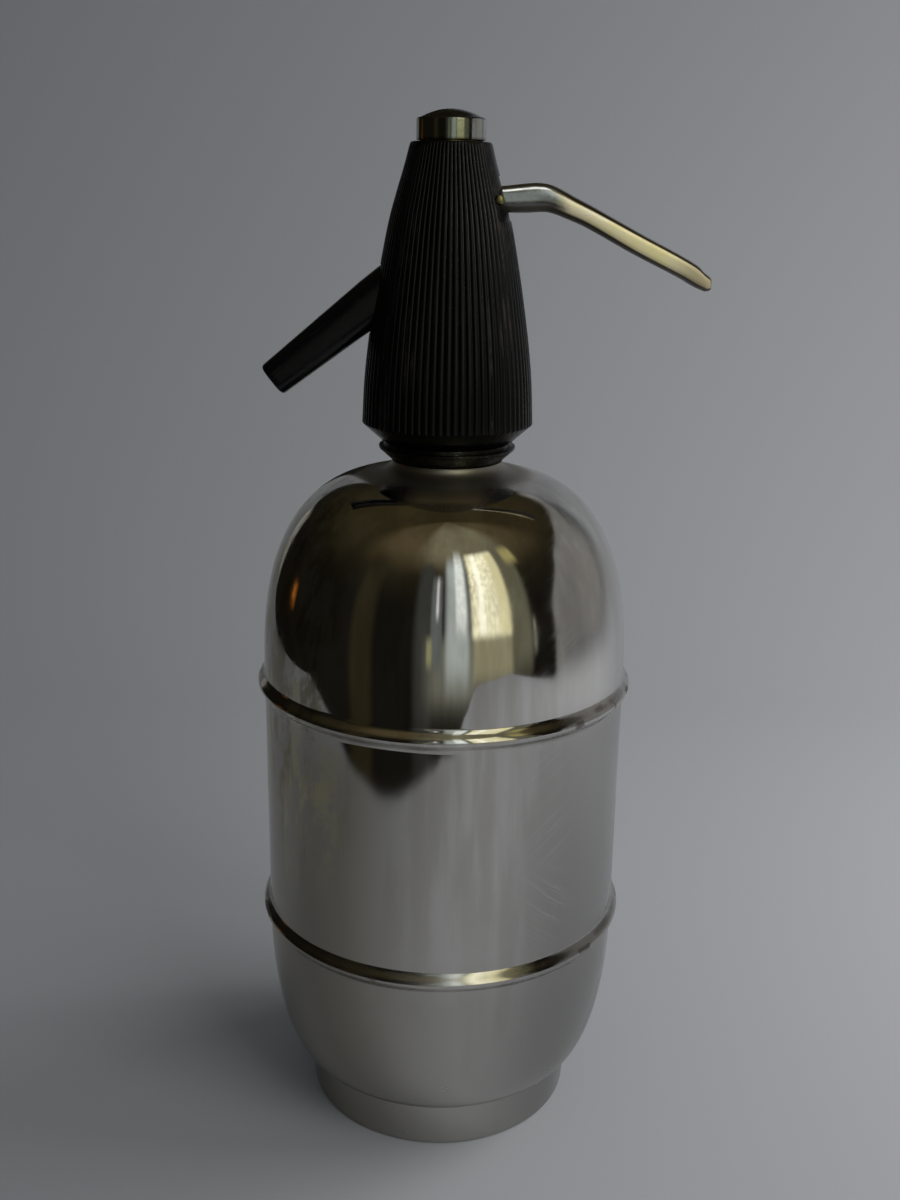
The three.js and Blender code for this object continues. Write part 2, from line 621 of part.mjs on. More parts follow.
// Skirt, web, hub and tower turned from one bar, with the slanting spout boss.
function valveBody() {
  const webTop = WEB_Z + WEB_THICKNESS;
  const neckIn = HUB_RADIUS - TOWER_RADIUS;
  const turned = revolve([
    [0, WEB_Z],
    [SKIRT_BORE_RADIUS, WEB_Z],
    [SKIRT_BORE_RADIUS, HEAD_BOTTOM_Z],
    [SKIRT_RADIUS, HEAD_BOTTOM_Z],
    [SKIRT_RADIUS, webTop - WEB_THICKNESS / 2],
    [SKIRT_RADIUS - WEB_THICKNESS / 2, webTop],
    [HUB_RADIUS, webTop],
    [HUB_RADIUS, HUB_TOP_Z],
    [TOWER_RADIUS, HUB_TOP_Z + neckIn],
    [TOWER_RADIUS, TOWER_TOP_Z - CAP_THREAD_LENGTH],
    [CAP_THREAD_RADIUS, TOWER_TOP_Z - CAP_THREAD_LENGTH],
    [CAP_THREAD_RADIUS, TOWER_TOP_Z],
    [0, TOWER_TOP_Z],
  ]);
  const boss = onSpoutAxis(cylinder(SPOUT_BOSS_RADIUS, HUB_RADIUS / 2, SPOUT_BOSS_END));
  const bores = [
    cylinder(TUBE_RADIUS + RUN_GAP, WEB_Z - CUT_OVERRUN, TUBE_TOP_Z + SEAT_GAP),
    cylinder(SEAT_HOLE_RADIUS, WEB_Z, CHAMBER_FLOOR_Z + CUT_OVERRUN),
    revolve([
      [SEAT_LIP_RADIUS, CHAMBER_FLOOR_Z],
      [CHAMBER_RADIUS, CHAMBER_FLOOR_Z],
      [CHAMBER_RADIUS, CHAMBER_CEILING_Z],
      [0, CHAMBER_CEILING_Z],
      [0, CHAMBER_FLOOR_Z + SEAT_LIP_HEIGHT],
      [SEAT_LIP_RADIUS, CHAMBER_FLOOR_Z + SEAT_LIP_HEIGHT],
    ]),
    cylinder(GUIDE_BORE_RADIUS, CHAMBER_CEILING_Z - CUT_OVERRUN, GLAND_Z),
    cylinder(PACKING_RADIUS, PACKING_Z, GLAND_Z + CUT_OVERRUN),
    cylinder(TOWER_BORE_RADIUS, GLAND_Z, TOWER_TOP_Z + CUT_OVERRUN),
    block(
      new THREE.Vector3(0, -SLOT_HALF_WIDTH, TOWER_SLOT_Z),
      new THREE.Vector3(PIVOT_X, SLOT_HALF_WIDTH, SLOT_TOP_Z),
    ),
    onSpoutAxis(cylinder(SPOUT_BORE_RADIUS, SPOUT_PORT_START, SPOUT_BOSS_END + CUT_OVERRUN, BORE_SEGMENTS)),
    onSpoutAxis(cylinder(
      SPOUT_SLEEVE_RADIUS, SPOUT_TUBE_START - SEAT_GAP, SPOUT_BOSS_END + CUT_OVERRUN, BORE_SEGMENTS,
    )),
  ];
  return cut(join(turned, [boss]), bores);
}

function stemPacking() {
  return ring(STEM_RADIUS + RUN_GAP / 2, PACKING_RADIUS - RUN_GAP, PACKING_Z + SEAT_GAP, GLAND_Z - SEAT_GAP);
}

function glandNut() {
  const slot = block(
    new THREE.Vector3(-TOWER_BORE_RADIUS, -GLAND_SLOT_HALF_WIDTH, GLAND_TOP_Z - GLAND_SLOT_DEPTH),
    new THREE.Vector3(TOWER_BORE_RADIUS, GLAND_SLOT_HALF_WIDTH, GLAND_TOP_Z + CUT_OVERRUN),
  );
  const nut = ring(GUIDE_BORE_RADIUS, TOWER_BORE_RADIUS - RUN_GAP, GLAND_Z + SEAT_GAP, GLAND_TOP_Z);
  return cut(nut, [slot]);
}

// The stem's foot is a cup that holds the rubber disc, and its top screws into the yoke.
function valveStem() {
  const topZ = YOKE_Z + YOKE_SOCKET - SEAT_GAP;
  return revolve([
    [0, CUP_FLOOR_Z],
    [DISC_RADIUS + RUN_GAP, CUP_FLOOR_Z],
    [DISC_RADIUS + RUN_GAP, CUP_FLOOR_Z - CUP_DEPTH],
    [CUP_RADIUS, CUP_FLOOR_Z - CUP_DEPTH],
    [CUP_RADIUS, CUP_TOP_Z],
    [STEM_RADIUS, CUP_TOP_Z + STEM_RADIUS],
    [STEM_RADIUS, YOKE_Z - SEAT_GAP],
    [STEM_THREAD_RADIUS, YOKE_Z - SEAT_GAP],
    [STEM_THREAD_RADIUS, topZ],
    [0, topZ],
  ]);
}

function valveDisc() {
  return cylinder(DISC_RADIUS, DISC_Z, DISC_Z + DISC_THICKNESS);
}

// The yoke is flattened on the lever's side, and its window takes the lever's nose.
function stemYoke() {
  const round = cylinder(YOKE_RADIUS, YOKE_Z, YOKE_TOP_Z);
  const flats = [-1, 1].map((side) => {
    const near = side * YOKE_HALF_DEPTH;
    const far = side * (YOKE_RADIUS + CUT_OVERRUN);
    return block(
      new THREE.Vector3(Math.min(near, far), -YOKE_RADIUS - CUT_OVERRUN, YOKE_Z - CUT_OVERRUN),
      new THREE.Vector3(Math.max(near, far), YOKE_RADIUS + CUT_OVERRUN, YOKE_TOP_Z + CUT_OVERRUN),
    );
  });
  const halfWidth = TONGUE_HALF_WIDTH + RUN_GAP;
  const window = block(
    new THREE.Vector3(-CUT_OVERRUN, -halfWidth, PIVOT_Z - WINDOW_HALF_HEIGHT),
    new THREE.Vector3(CUT_OVERRUN, halfWidth, PIVOT_Z + WINDOW_HALF_HEIGHT),
  );
  const socketRadius = STEM_THREAD_RADIUS + RUN_GAP;
  const socket = cylinder(socketRadius, YOKE_Z - CUT_OVERRUN, YOKE_Z + YOKE_SOCKET, BORE_SEGMENTS);
  return cut(round, [...flats, window, socket]);
}

// One unbroken wire, from the yoke's top to the cap's ceiling.
function returnSpring() {
  const bottom = YOKE_TOP_Z + SEAT_GAP + SPRING_WIRE_RADIUS;
  const top = CAP_CEILING_Z - SEAT_GAP - SPRING_WIRE_RADIUS;
  const rings = [];
  const steps = SPRING_TURNS * SPRING_STEPS;
  const climb = (top - bottom) / (SPRING_TURNS * 2 * Math.PI);
  for (let step = 0; step <= steps; step += 1) {
    const angle = (step / SPRING_STEPS) * 2 * Math.PI;
    const outward3 = new THREE.Vector3(Math.cos(angle), Math.sin(angle), 0);
    const sideways = new THREE.Vector3(-Math.sin(angle), Math.cos(angle), 0);
    const tangent = sideways.multiplyScalar(SPRING_RADIUS).setZ(climb).normalize();
    const upward = new THREE.Vector3().crossVectors(outward3, tangent);
    const centre = outward3.clone().multiplyScalar(SPRING_RADIUS);
    centre.z = bottom + climb * angle;
    const wire = [];
    for (let side = 0; side < WIRE_SIDES; side += 1) {
      const turn = (side / WIRE_SIDES) * 2 * Math.PI;
      wire.push(centre.clone()
        .addScaledVector(outward3, SPRING_WIRE_RADIUS * Math.cos(turn))
        .addScaledVector(upward, SPRING_WIRE_RADIUS * Math.sin(turn)));
    }
    rings.push(wire);
  }
  return loft(rings);
}

function coverWall() {
  const height = COVER_TOP_Z - COVER_BEVEL_TOP_Z;
  const spread = COVER_BASE_RADIUS - COVER_TOP_RADIUS;
  return COVER_SHARES.map(([radiusShare, heightShare]) => (
    [COVER_TOP_RADIUS + spread * radiusShare, COVER_BEVEL_TOP_Z + height * heightShare]
  ));
}

// The cover's outer radius at a height.
function coverRadiusAt(z) {
  const wall = coverWall();
  const above = wall.findIndex(([, height]) => height > z);
  const [lowRadius, lowZ] = wall[above - 1];
  const [highRadius, highZ] = wall[above];
  return lowRadius + ((highRadius - lowRadius) * (z - lowZ)) / (highZ - lowZ);
}

// How deep the flutes are at a height and an angle from +X. The lever's side is smooth near the top.
function fluteDepth(angle, z) {
  const fromLever = Math.abs(Math.atan2(Math.sin(angle), Math.cos(angle)));
  const padBottomZ = PIVOT_Z - PAD_BELOW_PIVOT;
  const side = THREE.MathUtils.smoothstep(fromLever, PAD_HALF_ANGLE - PAD_EDGE_ANGLE, PAD_HALF_ANGLE);
  const below = 1 - THREE.MathUtils.smoothstep(z, padBottomZ - PAD_HALF_FADE, padBottomZ + PAD_HALF_FADE);
  return RIB_DEPTH * Math.max(side, below);
}

// The fluted outside as one closed body: bevel, ribbed wall, rounded top edge.
function coverBlank() {
  const sides = RIB_COUNT * 2;
  const wall = coverWall();
  const levels = [
    { radius: COVER_BEVEL_RADIUS, z: HEAD_BOTTOM_Z, ribbed: 0 },
    ...wall.map(([radius, z]) => ({ radius, z, ribbed: 1 })),
    { radius: COVER_TOP_RADIUS - COVER_EDGE_RADIUS, z: COVER_TOP_Z, ribbed: 0 },
  ];
  const rings = levels.map(({ radius, z, ribbed }) => {
    const points = [];
    for (let side = 0; side < sides; side += 1) {
      const angle = (side / sides) * 2 * Math.PI;
      const taper = (radius / COVER_BASE_RADIUS) ** RIB_TAPER_POWER;
      const reach = side % 2 === 0 ? radius : radius - fluteDepth(angle, z) * ribbed * taper;
      points.push(new THREE.Vector3(reach * Math.cos(angle), reach * Math.sin(angle), z));
    }
    return points;
  });
  return loft(rings);
}

function coverCavity() {
  const inner = coverWall()
    .map(([radius, z]) => [Math.min(COVER_BORE_RADIUS, radius - COVER_WALL), z])
    .filter(([radius, z]) => radius < COVER_BORE_RADIUS && z < COVER_TOP_Z - COVER_TOP_THICKNESS);
  const roofZ = COVER_TOP_Z - COVER_TOP_THICKNESS;
  const kneeZ = inner[0][1] - COVER_KNEE_HEIGHT;
  return revolve([
    [0, HEAD_BOTTOM_Z - CUT_OVERRUN],
    [COVER_BORE_RADIUS, HEAD_BOTTOM_Z - CUT_OVERRUN],
    [COVER_BORE_RADIUS, kneeZ],
    ...inner,
    [COVER_TOP_BORE_RADIUS, roofZ],
    [COVER_TOP_BORE_RADIUS, COVER_TOP_Z + CUT_OVERRUN],
    [0, COVER_TOP_Z + CUT_OVERRUN],
  ], COLLAR_SEGMENTS);
}

function headCover() {
  const slot = block(
    new THREE.Vector3(HUB_RADIUS / 2, -SLOT_HALF_WIDTH, SLOT_BOTTOM_Z),
    new THREE.Vector3(COVER_BASE_RADIUS, SLOT_HALF_WIDTH, SLOT_TOP_Z),
  );
  const pinHole = crossCylinder(PIN_RADIUS + RUN_GAP, COVER_BASE_RADIUS, BORE_SEGMENTS);
  return cut(coverBlank(), [coverCavity(), slot, pinHole, nozzleBlank(NOZZLE_START - CUT_OVERRUN, SEAT_GAP)]);
}

// The points of a superellipse with two half widths, as [across, along] pairs.
function superEllipse(halfAcross, halfAlong, power) {
  const points = [];
  for (let step = 0; step < SECTION_STEPS; step += 1) {
    const angle = (step / SECTION_STEPS) * 2 * Math.PI;
    const across = Math.sign(Math.cos(angle)) * Math.abs(Math.cos(angle)) ** (2 / power);
    const along = Math.sign(Math.sin(angle)) * Math.abs(Math.sin(angle)) ** (2 / power);
    points.push([halfAcross * across, halfAlong * along]);
  }
  return points;
}

// A ring across the spout's axis, which runs along +Z until it is placed.
function nozzleSection(distance, height, width) {
  return superEllipse(height / 2, width / 2, NOZZLE_POWER)
    .map(([across, along]) => new THREE.Vector3(across, along, distance));
}

// The nozzle's outside: even inside the head, tapered outside it, its tip edge rounded.
function nozzleBlank(start, grow) {
  const taper = (size, tipSize, share) => size + (tipSize - size) * share + 2 * grow;
  const edgeShare = 1 - NOZZLE_EDGE / (NOZZLE_END - NOZZLE_ROOT);
  const stations = [
    [start, 0],
    [NOZZLE_ROOT, 0],
    [NOZZLE_END - NOZZLE_EDGE, edgeShare],
  ].map(([distance, share]) => nozzleSection(
    distance,
    taper(NOZZLE_ROOT_HEIGHT, NOZZLE_TIP_HEIGHT, share),
    taper(NOZZLE_ROOT_WIDTH, NOZZLE_TIP_WIDTH, share),
  ));
  stations.push(nozzleSection(
    NOZZLE_END,
    NOZZLE_TIP_HEIGHT - 2 * NOZZLE_EDGE + 2 * grow,
    NOZZLE_TIP_WIDTH - 2 * NOZZLE_EDGE + 2 * grow,
  ));
  return onSpoutAxis(loft(stations));
}

function nozzle() {
  return cut(nozzleBlank(NOZZLE_START, 0), [
    onSpoutAxis(cylinder(
      SPOUT_SLEEVE_RADIUS, NOZZLE_START - CUT_OVERRUN, NOZZLE_END + CUT_OVERRUN, BORE_SEGMENTS,
    )),
    onSpoutAxis(cylinder(TIP_RECESS_RADIUS, TIP_RECESS_START, NOZZLE_END + CUT_OVERRUN)),
  ]);
}

// The tube's outer end is flared against the recess in the nozzle's tip.
function spoutTube() {
  const flareStart = TIP_RECESS_START + SEAT_GAP;
  const flareEnd = flareStart + SPOUT_FLARE_THICKNESS;
  const flareRadius = TIP_RECESS_RADIUS - RUN_GAP;
  return onSpoutAxis(revolve([
    [SPOUT_BORE_RADIUS, SPOUT_TUBE_START],
    [SPOUT_TUBE_RADIUS, SPOUT_TUBE_START],
    [SPOUT_TUBE_RADIUS, flareStart],
    [flareRadius, flareStart],
    [flareRadius, flareEnd],
    [SPOUT_BORE_RADIUS, flareEnd],
  ], BORE_SEGMENTS));
}

function spoutRing() {
  const outer = SPOUT_SLEEVE_RADIUS + SPOUT_RING_WIDTH;
  return onSpoutAxis(ring(SPOUT_SLEEVE_RADIUS, outer, SPOUT_RING_START, SPOUT_RING_END));
}

function capWasher() {
  const top = CAP_WASHER_Z + CAP_WASHER_THICKNESS;
  return ring(COVER_TOP_BORE_RADIUS, CAP_RADIUS - SEAT_GAP, CAP_WASHER_Z, top);
}

// A chromed cap: flat side, rounded edge, domed top, and a threaded well that takes the spring.
function topCap() {
  const dome = [];
  const reach = CAP_RADIUS - CAP_EDGE_RADIUS;
  for (let step = 0; step <= DOME_STEPS; step += 1) {
    const share = step / DOME_STEPS;
    const drop = (CAP_DOME_Z - CAP_SIDE_Z - CAP_EDGE_RADIUS / 2) * share ** 2;
    dome.push([reach * share, CAP_DOME_Z - drop]);
  }
  return revolve([
    [CAP_BORE_RADIUS, CAP_BOTTOM_Z],
    [CAP_RADIUS, CAP_BOTTOM_Z],
    [CAP_RADIUS, CAP_SIDE_Z],
    ...dome.reverse(),
    [0, CAP_CEILING_Z],
    [CAP_BORE_RADIUS, CAP_CEILING_Z],
  ], COLLAR_SEGMENTS);
}

// A riveted pin whose ends stand proud as low domes.
function leverPin() {
  const end = superQuarter(PIN_RADIUS, 0, PIN_HALF_LENGTH, PIN_HALF_LENGTH + PIN_DOME, 2, PIN_DOME_STEPS);
  const foot = end.map(([radius, height]) => [radius, -height]).reverse();
  const pin = revolve([...foot, ...end], BORE_SEGMENTS);
  pin.rotateX(Math.PI / 2);
  pin.translate(PIVOT_X, 0, PIVOT_Z);
  return pin;
}

// Stations along the lever, from the stem's axis to the tip, each with its place in the head's plane,
// half thickness and half width.
function leverStations() {
  const tongue = TONGUE_SHARES.map(([place, thickness]) => ({
    middle: new THREE.Vector3(place * PIVOT_X, 0, PIVOT_Z),
    halfThickness: thickness * TONGUE_NOSE_RADIUS,
    halfWidth: TONGUE_HALF_WIDTH,
  }));
  const arm = ARM_SHARES.map(([place, rise, thickness, width]) => ({
    middle: new THREE.Vector3(PIVOT_X + place * LEVER_REACH, 0, PIVOT_Z + rise * LEVER_DROP),
    halfThickness: thickness * LEVER_ROOT_HALF_THICKNESS,
    halfWidth: LEVER_ROOT_HALF_WIDTH + width * (LEVER_TIP_HALF_WIDTH - LEVER_ROOT_HALF_WIDTH),
  }));
  return [...tongue, ...arm];
}

// A forged lever, bored for the pin: its round root flattens and widens towards a tip cut upright.
function lever() {
  const stations = leverStations();
  const rings = stations.map(({ middle, halfThickness, halfWidth }, index) => {
    const before = stations[Math.max(index - 1, 0)].middle;
    const after = stations[Math.min(index + 1, stations.length - 1)].middle;
    const along = new THREE.Vector3().subVectors(after, before).normalize();
    const atTip = index >= stations.length - UPRIGHT_TIP_STATIONS;
    const up = atTip ? new THREE.Vector3(0, 0, 1) : new THREE.Vector3(-along.z, 0, along.x);
    return superEllipse(halfWidth, halfThickness, LEVER_SECTION_POWER).map(([across, high]) => {
      const point = middle.clone().addScaledVector(up, high);
      point.y = across;
      return point;
    });
  });
  const nose = cylinder(TONGUE_NOSE_RADIUS, -TONGUE_HALF_WIDTH, TONGUE_HALF_WIDTH, SECTION_STEPS);
  nose.rotateX(Math.PI / 2);
  nose.translate(0, 0, PIVOT_Z);
  const arm = join(loft(rings), [nose]);
  return cut(arm, [crossCylinder(PIN_RADIUS + RUN_GAP, CUT_OVERRUN, BORE_SEGMENTS)]);
}

const siphon = new THREE.Group();

function addPart(name, geometry, finish) {
  const shown = geometry.toNonIndexed();
  shown.computeVertexNormals();
  const mesh = new THREE.Mesh(shown, new THREE.MeshStandardMaterial({ ...finish, name }));
  mesh.name = name;
  siphon.add(mesh);
}

// Bottle
addPart('body_shell', bodyShell(), STEEL);
addPart('bottom_dish', bottomDish(), STEEL);
addPart('foot_ring', footRing(), STEEL);
addPart('neck_collar', neckCollar(), CHROME);

// Dip tube set
addPart('dip_tube', dipTube(), STEEL);
addPart('tube_flange', tubeFlange(), BRASS);
addPart('rim_gasket', rimRing(), RUBBER);
addPart('head_gasket', headRing(), RUBBER);

// Head
addPart('valve_body', valveBody(), BRASS);
addPart('head_cover', headCover(), BAKELITE);
addPart('top_cap', topCap(), CHROME);
addPart('cap_washer', capWasher(), FIBRE);
addPart('stem_packing', stemPacking(), RUBBER);
addPart('gland_nut', glandNut(), BRASS);
addPart('nozzle', nozzle(), BAKELITE);
addPart('spout_tube', spoutTube(), BRASS);
addPart('spout_ring', spoutRing(), RUBBER);
addPart('return_spring', returnSpring(), STEEL);
addPart('lever_pin', leverPin(), BRASS);

// Lever and valve
addPart('lever', lever(), CHROME);
addPart('valve_stem', valveStem(), BRASS);
addPart('stem_yoke', stemYoke(), BRASS);
addPart('valve_disc', valveDisc(), RUBBER);

export default siphon;
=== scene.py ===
"""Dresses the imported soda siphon: finer shapes and finishes over its solids, with floor, light and camera."""
import math

import bpy
from mathutils import Matrix, Vector

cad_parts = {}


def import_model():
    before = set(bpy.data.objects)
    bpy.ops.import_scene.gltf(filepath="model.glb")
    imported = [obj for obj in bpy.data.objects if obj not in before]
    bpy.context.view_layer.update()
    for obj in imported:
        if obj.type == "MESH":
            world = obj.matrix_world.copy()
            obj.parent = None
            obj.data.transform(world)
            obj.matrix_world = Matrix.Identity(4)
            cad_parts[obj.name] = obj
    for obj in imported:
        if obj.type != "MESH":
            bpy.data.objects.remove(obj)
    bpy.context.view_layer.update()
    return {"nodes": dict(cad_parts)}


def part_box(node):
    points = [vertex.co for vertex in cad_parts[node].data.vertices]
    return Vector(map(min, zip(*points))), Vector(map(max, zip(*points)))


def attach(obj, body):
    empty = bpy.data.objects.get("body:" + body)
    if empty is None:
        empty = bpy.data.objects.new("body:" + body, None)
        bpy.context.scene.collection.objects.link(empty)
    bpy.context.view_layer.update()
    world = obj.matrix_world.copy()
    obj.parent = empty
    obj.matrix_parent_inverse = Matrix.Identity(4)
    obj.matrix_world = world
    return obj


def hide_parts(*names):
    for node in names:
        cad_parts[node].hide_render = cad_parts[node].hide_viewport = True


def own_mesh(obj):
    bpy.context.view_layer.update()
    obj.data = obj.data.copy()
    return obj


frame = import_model()
NODES = frame["nodes"]

# Everything is in metres, in the frame of the CAD model, so its sizes are repeated here.
CLEARANCE = 0.0003
OVERRUN = 0.006
KEEN_EDGE = 0.0001
FINE_EDGE = 0.0002
EDGE = 0.0003
SOFT_EDGE = 0.0004

# Bottle
BODY_RADIUS = 0.050
SHELL_WALL = 0.0009
FOOT_HEIGHT = 0.0134
CURVE_TOP = 0.0562
CURVE_FOOT_RADIUS = 0.0385
LOWER_BEAD = 0.0599
UPPER_BEAD = 0.1281
BEAD_RISE = 0.0018
BEAD_HALF_WIDTH = 0.0032
BEAD_GUARD = 0.0003
SHOULDER_START = 0.1318
SHOULDER_TOP = 0.1858
SHOULDER_POWER = 2.45
NECK_RADIUS = 0.0148
NECK_COVE_REACH = 0.0065
NECK_COVE_HEIGHT = 0.0031
NECK_TOP = 0.1890

# Foot ring and bottom dish
FOOT_RADIUS = 0.0379
FOOT_TOP_RADIUS = 0.0386
FOOT_WALL = 0.001
FOOT_HEM_WIDTH = 0.003
FOOT_OUTER_EDGE = 0.0009
FOOT_INNER_EDGE = 0.0008
DISH_RIM_RADIUS = 0.0354
DISH_WALL = 0.0011
DISH_CROWN = 0.0012
DISH_CROWN_RADIUS = 0.018
DISH_RIM = 0.009
DISH_RIM_TOP = 0.016

# Neck collar, up to the rim
COLLAR_SPIGOT = 0.1862
COLLAR_SEAT = 0.1893
COLLAR_FLANGE = 0.1923
COLLAR_BAND = 0.1930
COLLAR_TOP = 0.1941
RIM = 0.2066
COLLAR_BORE_RADIUS = 0.0116
COLLAR_FLANGE_RADIUS = 0.0182
COLLAR_BAND_RADIUS = 0.0169
THREAD_RADIUS = 0.0139
THREAD_PITCH = 0.003
THREAD_DEPTH = 0.0009
THREAD_FLANK_SHARES = (0.28, 0.82)
THREAD_RUN_OUT = 0.0012
NECK_THREAD_RELIEF = 0.0006
HEAD_THREAD_RELIEF = 0.0008

# Head cover
HEAD_BOTTOM = 0.1944
COVER_BEVEL_TOP = 0.1991
COVER_BEVEL_RADIUS = 0.0174
COVER_BORE_RADIUS = 0.0167
COVER_BASE_RADIUS = 0.02265
COVER_TOP_RADIUS = 0.0103
COVER_TOP = 0.2695
COVER_TOP_BORE_RADIUS = 0.0075
COVER_TOP_THICKNESS = 0.004
COVER_WALL = 0.0032
COVER_KNEE = 0.003
COVER_MARGIN = 0.001
COVER_TOP_EDGE = 0.0006
COVER_TOP_RELIEF = 0.0008
RIB_COUNT = 72
RIB_DEPTH = 0.00042
RIB_TAPER_POWER = 0.5
RIB_ROUNDNESS = 0.92
RIB_FOOT_FADE = (-0.0008, 0.0006)
RIB_TOP_FADE = (-0.0009, -0.0001)
PAD_HALF_ANGLE = 0.78
PAD_EDGE_ANGLE = 0.16
PAD_HALF_FADE = 0.003
PAD_BOTTOM = 0.249
COVER_SHARES = [
    (0, 1),
    (0.16, 0.95),
    (0.3, 0.862),
    (0.455, 0.729),
    (0.6, 0.584),
    (0.74, 0.42),
    (0.854, 0.235),
    (0.925, 0.113),
    (1, 0),
]

# Lever, its pin and its slot
PIVOT = Vector((0.0122, 0, 0.2558))
PIN_RADIUS = 0.0012
PIN_DOME = 0.0005
PIN_GAP = 0.00005
PIN_HALF_LENGTH = 0.0067
SLOT_HALF_WIDTH = 0.0036
SLOT_BOTTOM = 0.2506
SLOT_TOP = 0.26155
LEVER_REACH = 0.0547
LEVER_DROP = 0.0199
LEVER_ROOT_HALF_THICKNESS = 0.00345
LEVER_ROOT_HALF_WIDTH = 0.0032
LEVER_TIP_HALF_WIDTH = 0.0048
LEVER_ROOT_POWER = 2.3
LEVER_TIP_POWER = 3.6
TONGUE_HALF_WIDTH = 0.002
TONGUE_NOSE_RADIUS = 0.0021
TONGUE_SHARES = [
    (0, 0.74),
    (0.28, 0.66),
    (0.54, 0.92),
]
ARM_SHARES = [
    (-0.06, 0.004, 0.86, 0),
    (0.05, 0.012, 0.97, 0),
    (0.14, 0.028, 1.04, 0.01),
    (0.192, 0.036, 1.03, 0.04),
    (0.235, 0.024, 0.98, 0.1),
    (0.28, -0.018, 0.9, 0.2),
    (0.329, -0.077, 0.84, 0.34),
    (0.431, -0.202, 0.78, 0.55),
    (0.656, -0.522, 0.77, 0.82),
    (0.887, -0.833, 0.73, 1),
    (0.978, -0.983, 0.66, 1),
    (1, -1, 0.5, 0.84),
]
ARM_SLOPE_STEP = 0.01
ARM_END_SHARE = 0.992
ARM_TIP_SHARES = [
    (0.997, 0.99),
    (1, 0.96),
]
ARM_UPRIGHT_SHARES = (0.9, 0.98)
ARM_SQUARING_SHARES = (0.3, 0.8)

# Spout, along its axis from the head's axis out
SPOUT_ANGLE = 0.666
SPOUT_AXIS = 0.2458
SPOUT_BORE_RADIUS = 0.0018
SPOUT_TUBE_RADIUS = 0.0025
SPOUT_SLEEVE_RADIUS = 0.0028
SPOUT_BOSS_RADIUS = 0.0044
SPOUT_PORT_START = 0.0061
SPOUT_TUBE_START = 0.0096
SPOUT_BOSS_END = 0.0158
SPOUT_FLARE_THICKNESS = 0.0008
NOZZLE_START = 0.0182
NOZZLE_ROOT = 0.0245
NOZZLE_END = 0.05875
NOZZLE_ROOT_SIZE = (0.0118, 0.0102)
NOZZLE_TIP_SIZE = (0.0092, 0.0084)
NOZZLE_POWER = 3
NOZZLE_EDGE = 0.0007
TIP_RECESS_START = 0.05635
TIP_RECESS_RADIUS = 0.0031

# Valve body
WEB = 0.2120
WEB_THICKNESS = 0.003
SKIRT_BORE_RADIUS = 0.0142
SKIRT_RADIUS = 0.0164
HUB_RADIUS = 0.0095
HUB_TOP = 0.2468
TOWER_RADIUS = 0.0072
TOWER_BORE_RADIUS = 0.0056
TOWER_SLOT = 0.2526
TOWER_TOP = 0.2734
CAP_THREAD_RADIUS = 0.0066
CAP_THREAD_LENGTH = 0.0046
CHAMBER_FLOOR = 0.2290
CHAMBER_CEILING = 0.2435
CHAMBER_RADIUS = 0.0064
SEAT_HOLE_RADIUS = 0.0026
SEAT_LIP_RADIUS = 0.0042
SEAT_LIP_HEIGHT = 0.0012
TUBE_SOCKET_TOP = 0.2203
GUIDE_BORE_RADIUS = 0.0025
PACKING_RADIUS = 0.0043
PACKING = 0.2457
GLAND = 0.2482

# Dip tube, its flange and the rubber rings
TUBE_RADIUS = 0.0036
TUBE_BORE_RADIUS = 0.0026
TUBE_FOOT_SLANT = 0.52
RIM_RING_BORE_RADIUS = 0.0095

# Top cap
CAP_BORE_RADIUS = 0.0069
CAP_RADIUS = 0.00875
CAP_BOTTOM = 0.2706
CAP_SKIRT_BOTTOM = 0.2699
CAP_SKIRT_WALL = 0.0004
CAP_SIDE_TOP = 0.2748
CAP_DOME_TOP = 0.2774
CAP_CEILING = 0.2744
CAP_EDGE_RADIUS = 0.0011

# Return spring
SPRING_WIRE_RADIUS = 0.0005
SPRING_TURNS = 5

# How finely the shapes are drawn
TURNED_SIDES = 256
SMALL_SIDES = 96
SHELL_STEPS = 32
DISH_STEPS = 20
RIB_STEPS = 12
WALL_STEPS = 60
THREAD_STEPS = 84
SECTION_SIDES = 56
ARM_STEPS = 72
NOZZLE_STEPS = 24
NOZZLE_EDGE_STEPS = 5
CAP_DOME_STEPS = 16
CAP_EDGE_STEPS = 8
PIN_DOME_STEPS = 8
SPRING_STEPS = 40
SPRING_WIRE_SIDES = 16
BACKDROP_STEPS = 48
SHARP_ANGLE = math.radians(32)

# The camera that took the photograph
CAMERA_PLACE = Vector((0, -0.35033, 0.25627))
CAMERA_YAW = 0.0041
CAMERA_PITCH = 0.2962
CAMERA_ROLL = 0.0153
CAMERA_LENS = 39.6
CAMERA_SENSOR = 36
CAMERA_NEAR = 0.01

# Where grime gathers
BEAD_CREST_HALF_WIDTH = 0.002
BEAD_GRIME_HALF_WIDTH = 0.0045
SEAM_HALF_WIDTH = 0.0009
CAP_GRIME_HEIGHT = 0.0008

# Stage and light
FLOOR_COLOUR = (0.33, 0.34, 0.355)
FLOOR_ROUGHNESS = 0.9
FLOOR_HALF_SIZE = 3
FLOOR_BREAK = -1
BACKDROP_PLACE = 0.75
BACKDROP_CURVE = 0.45
BACKDROP_LEAD = 0.05
BACKDROP_HEIGHT = 0.85
CLOTH_FRONT = -0.345
CLOTH_LEFT = -0.53
CLOTH_TOP = 0.6
CLOTH_TOP_SLOPE = 0.44
WORLD_LEVEL = 0.22


# Meshes

def mesh_object(name, points, faces):
    """A mesh object in the scene, its faces turned outwards."""
    mesh = bpy.data.meshes.new(name)
    mesh.from_pydata(points, [], faces)
    if volume(mesh) < 0:
        mesh.flip_normals()
    mesh.update()
    piece = bpy.data.objects.new(name, mesh)
    bpy.context.scene.collection.objects.link(piece)
    return piece


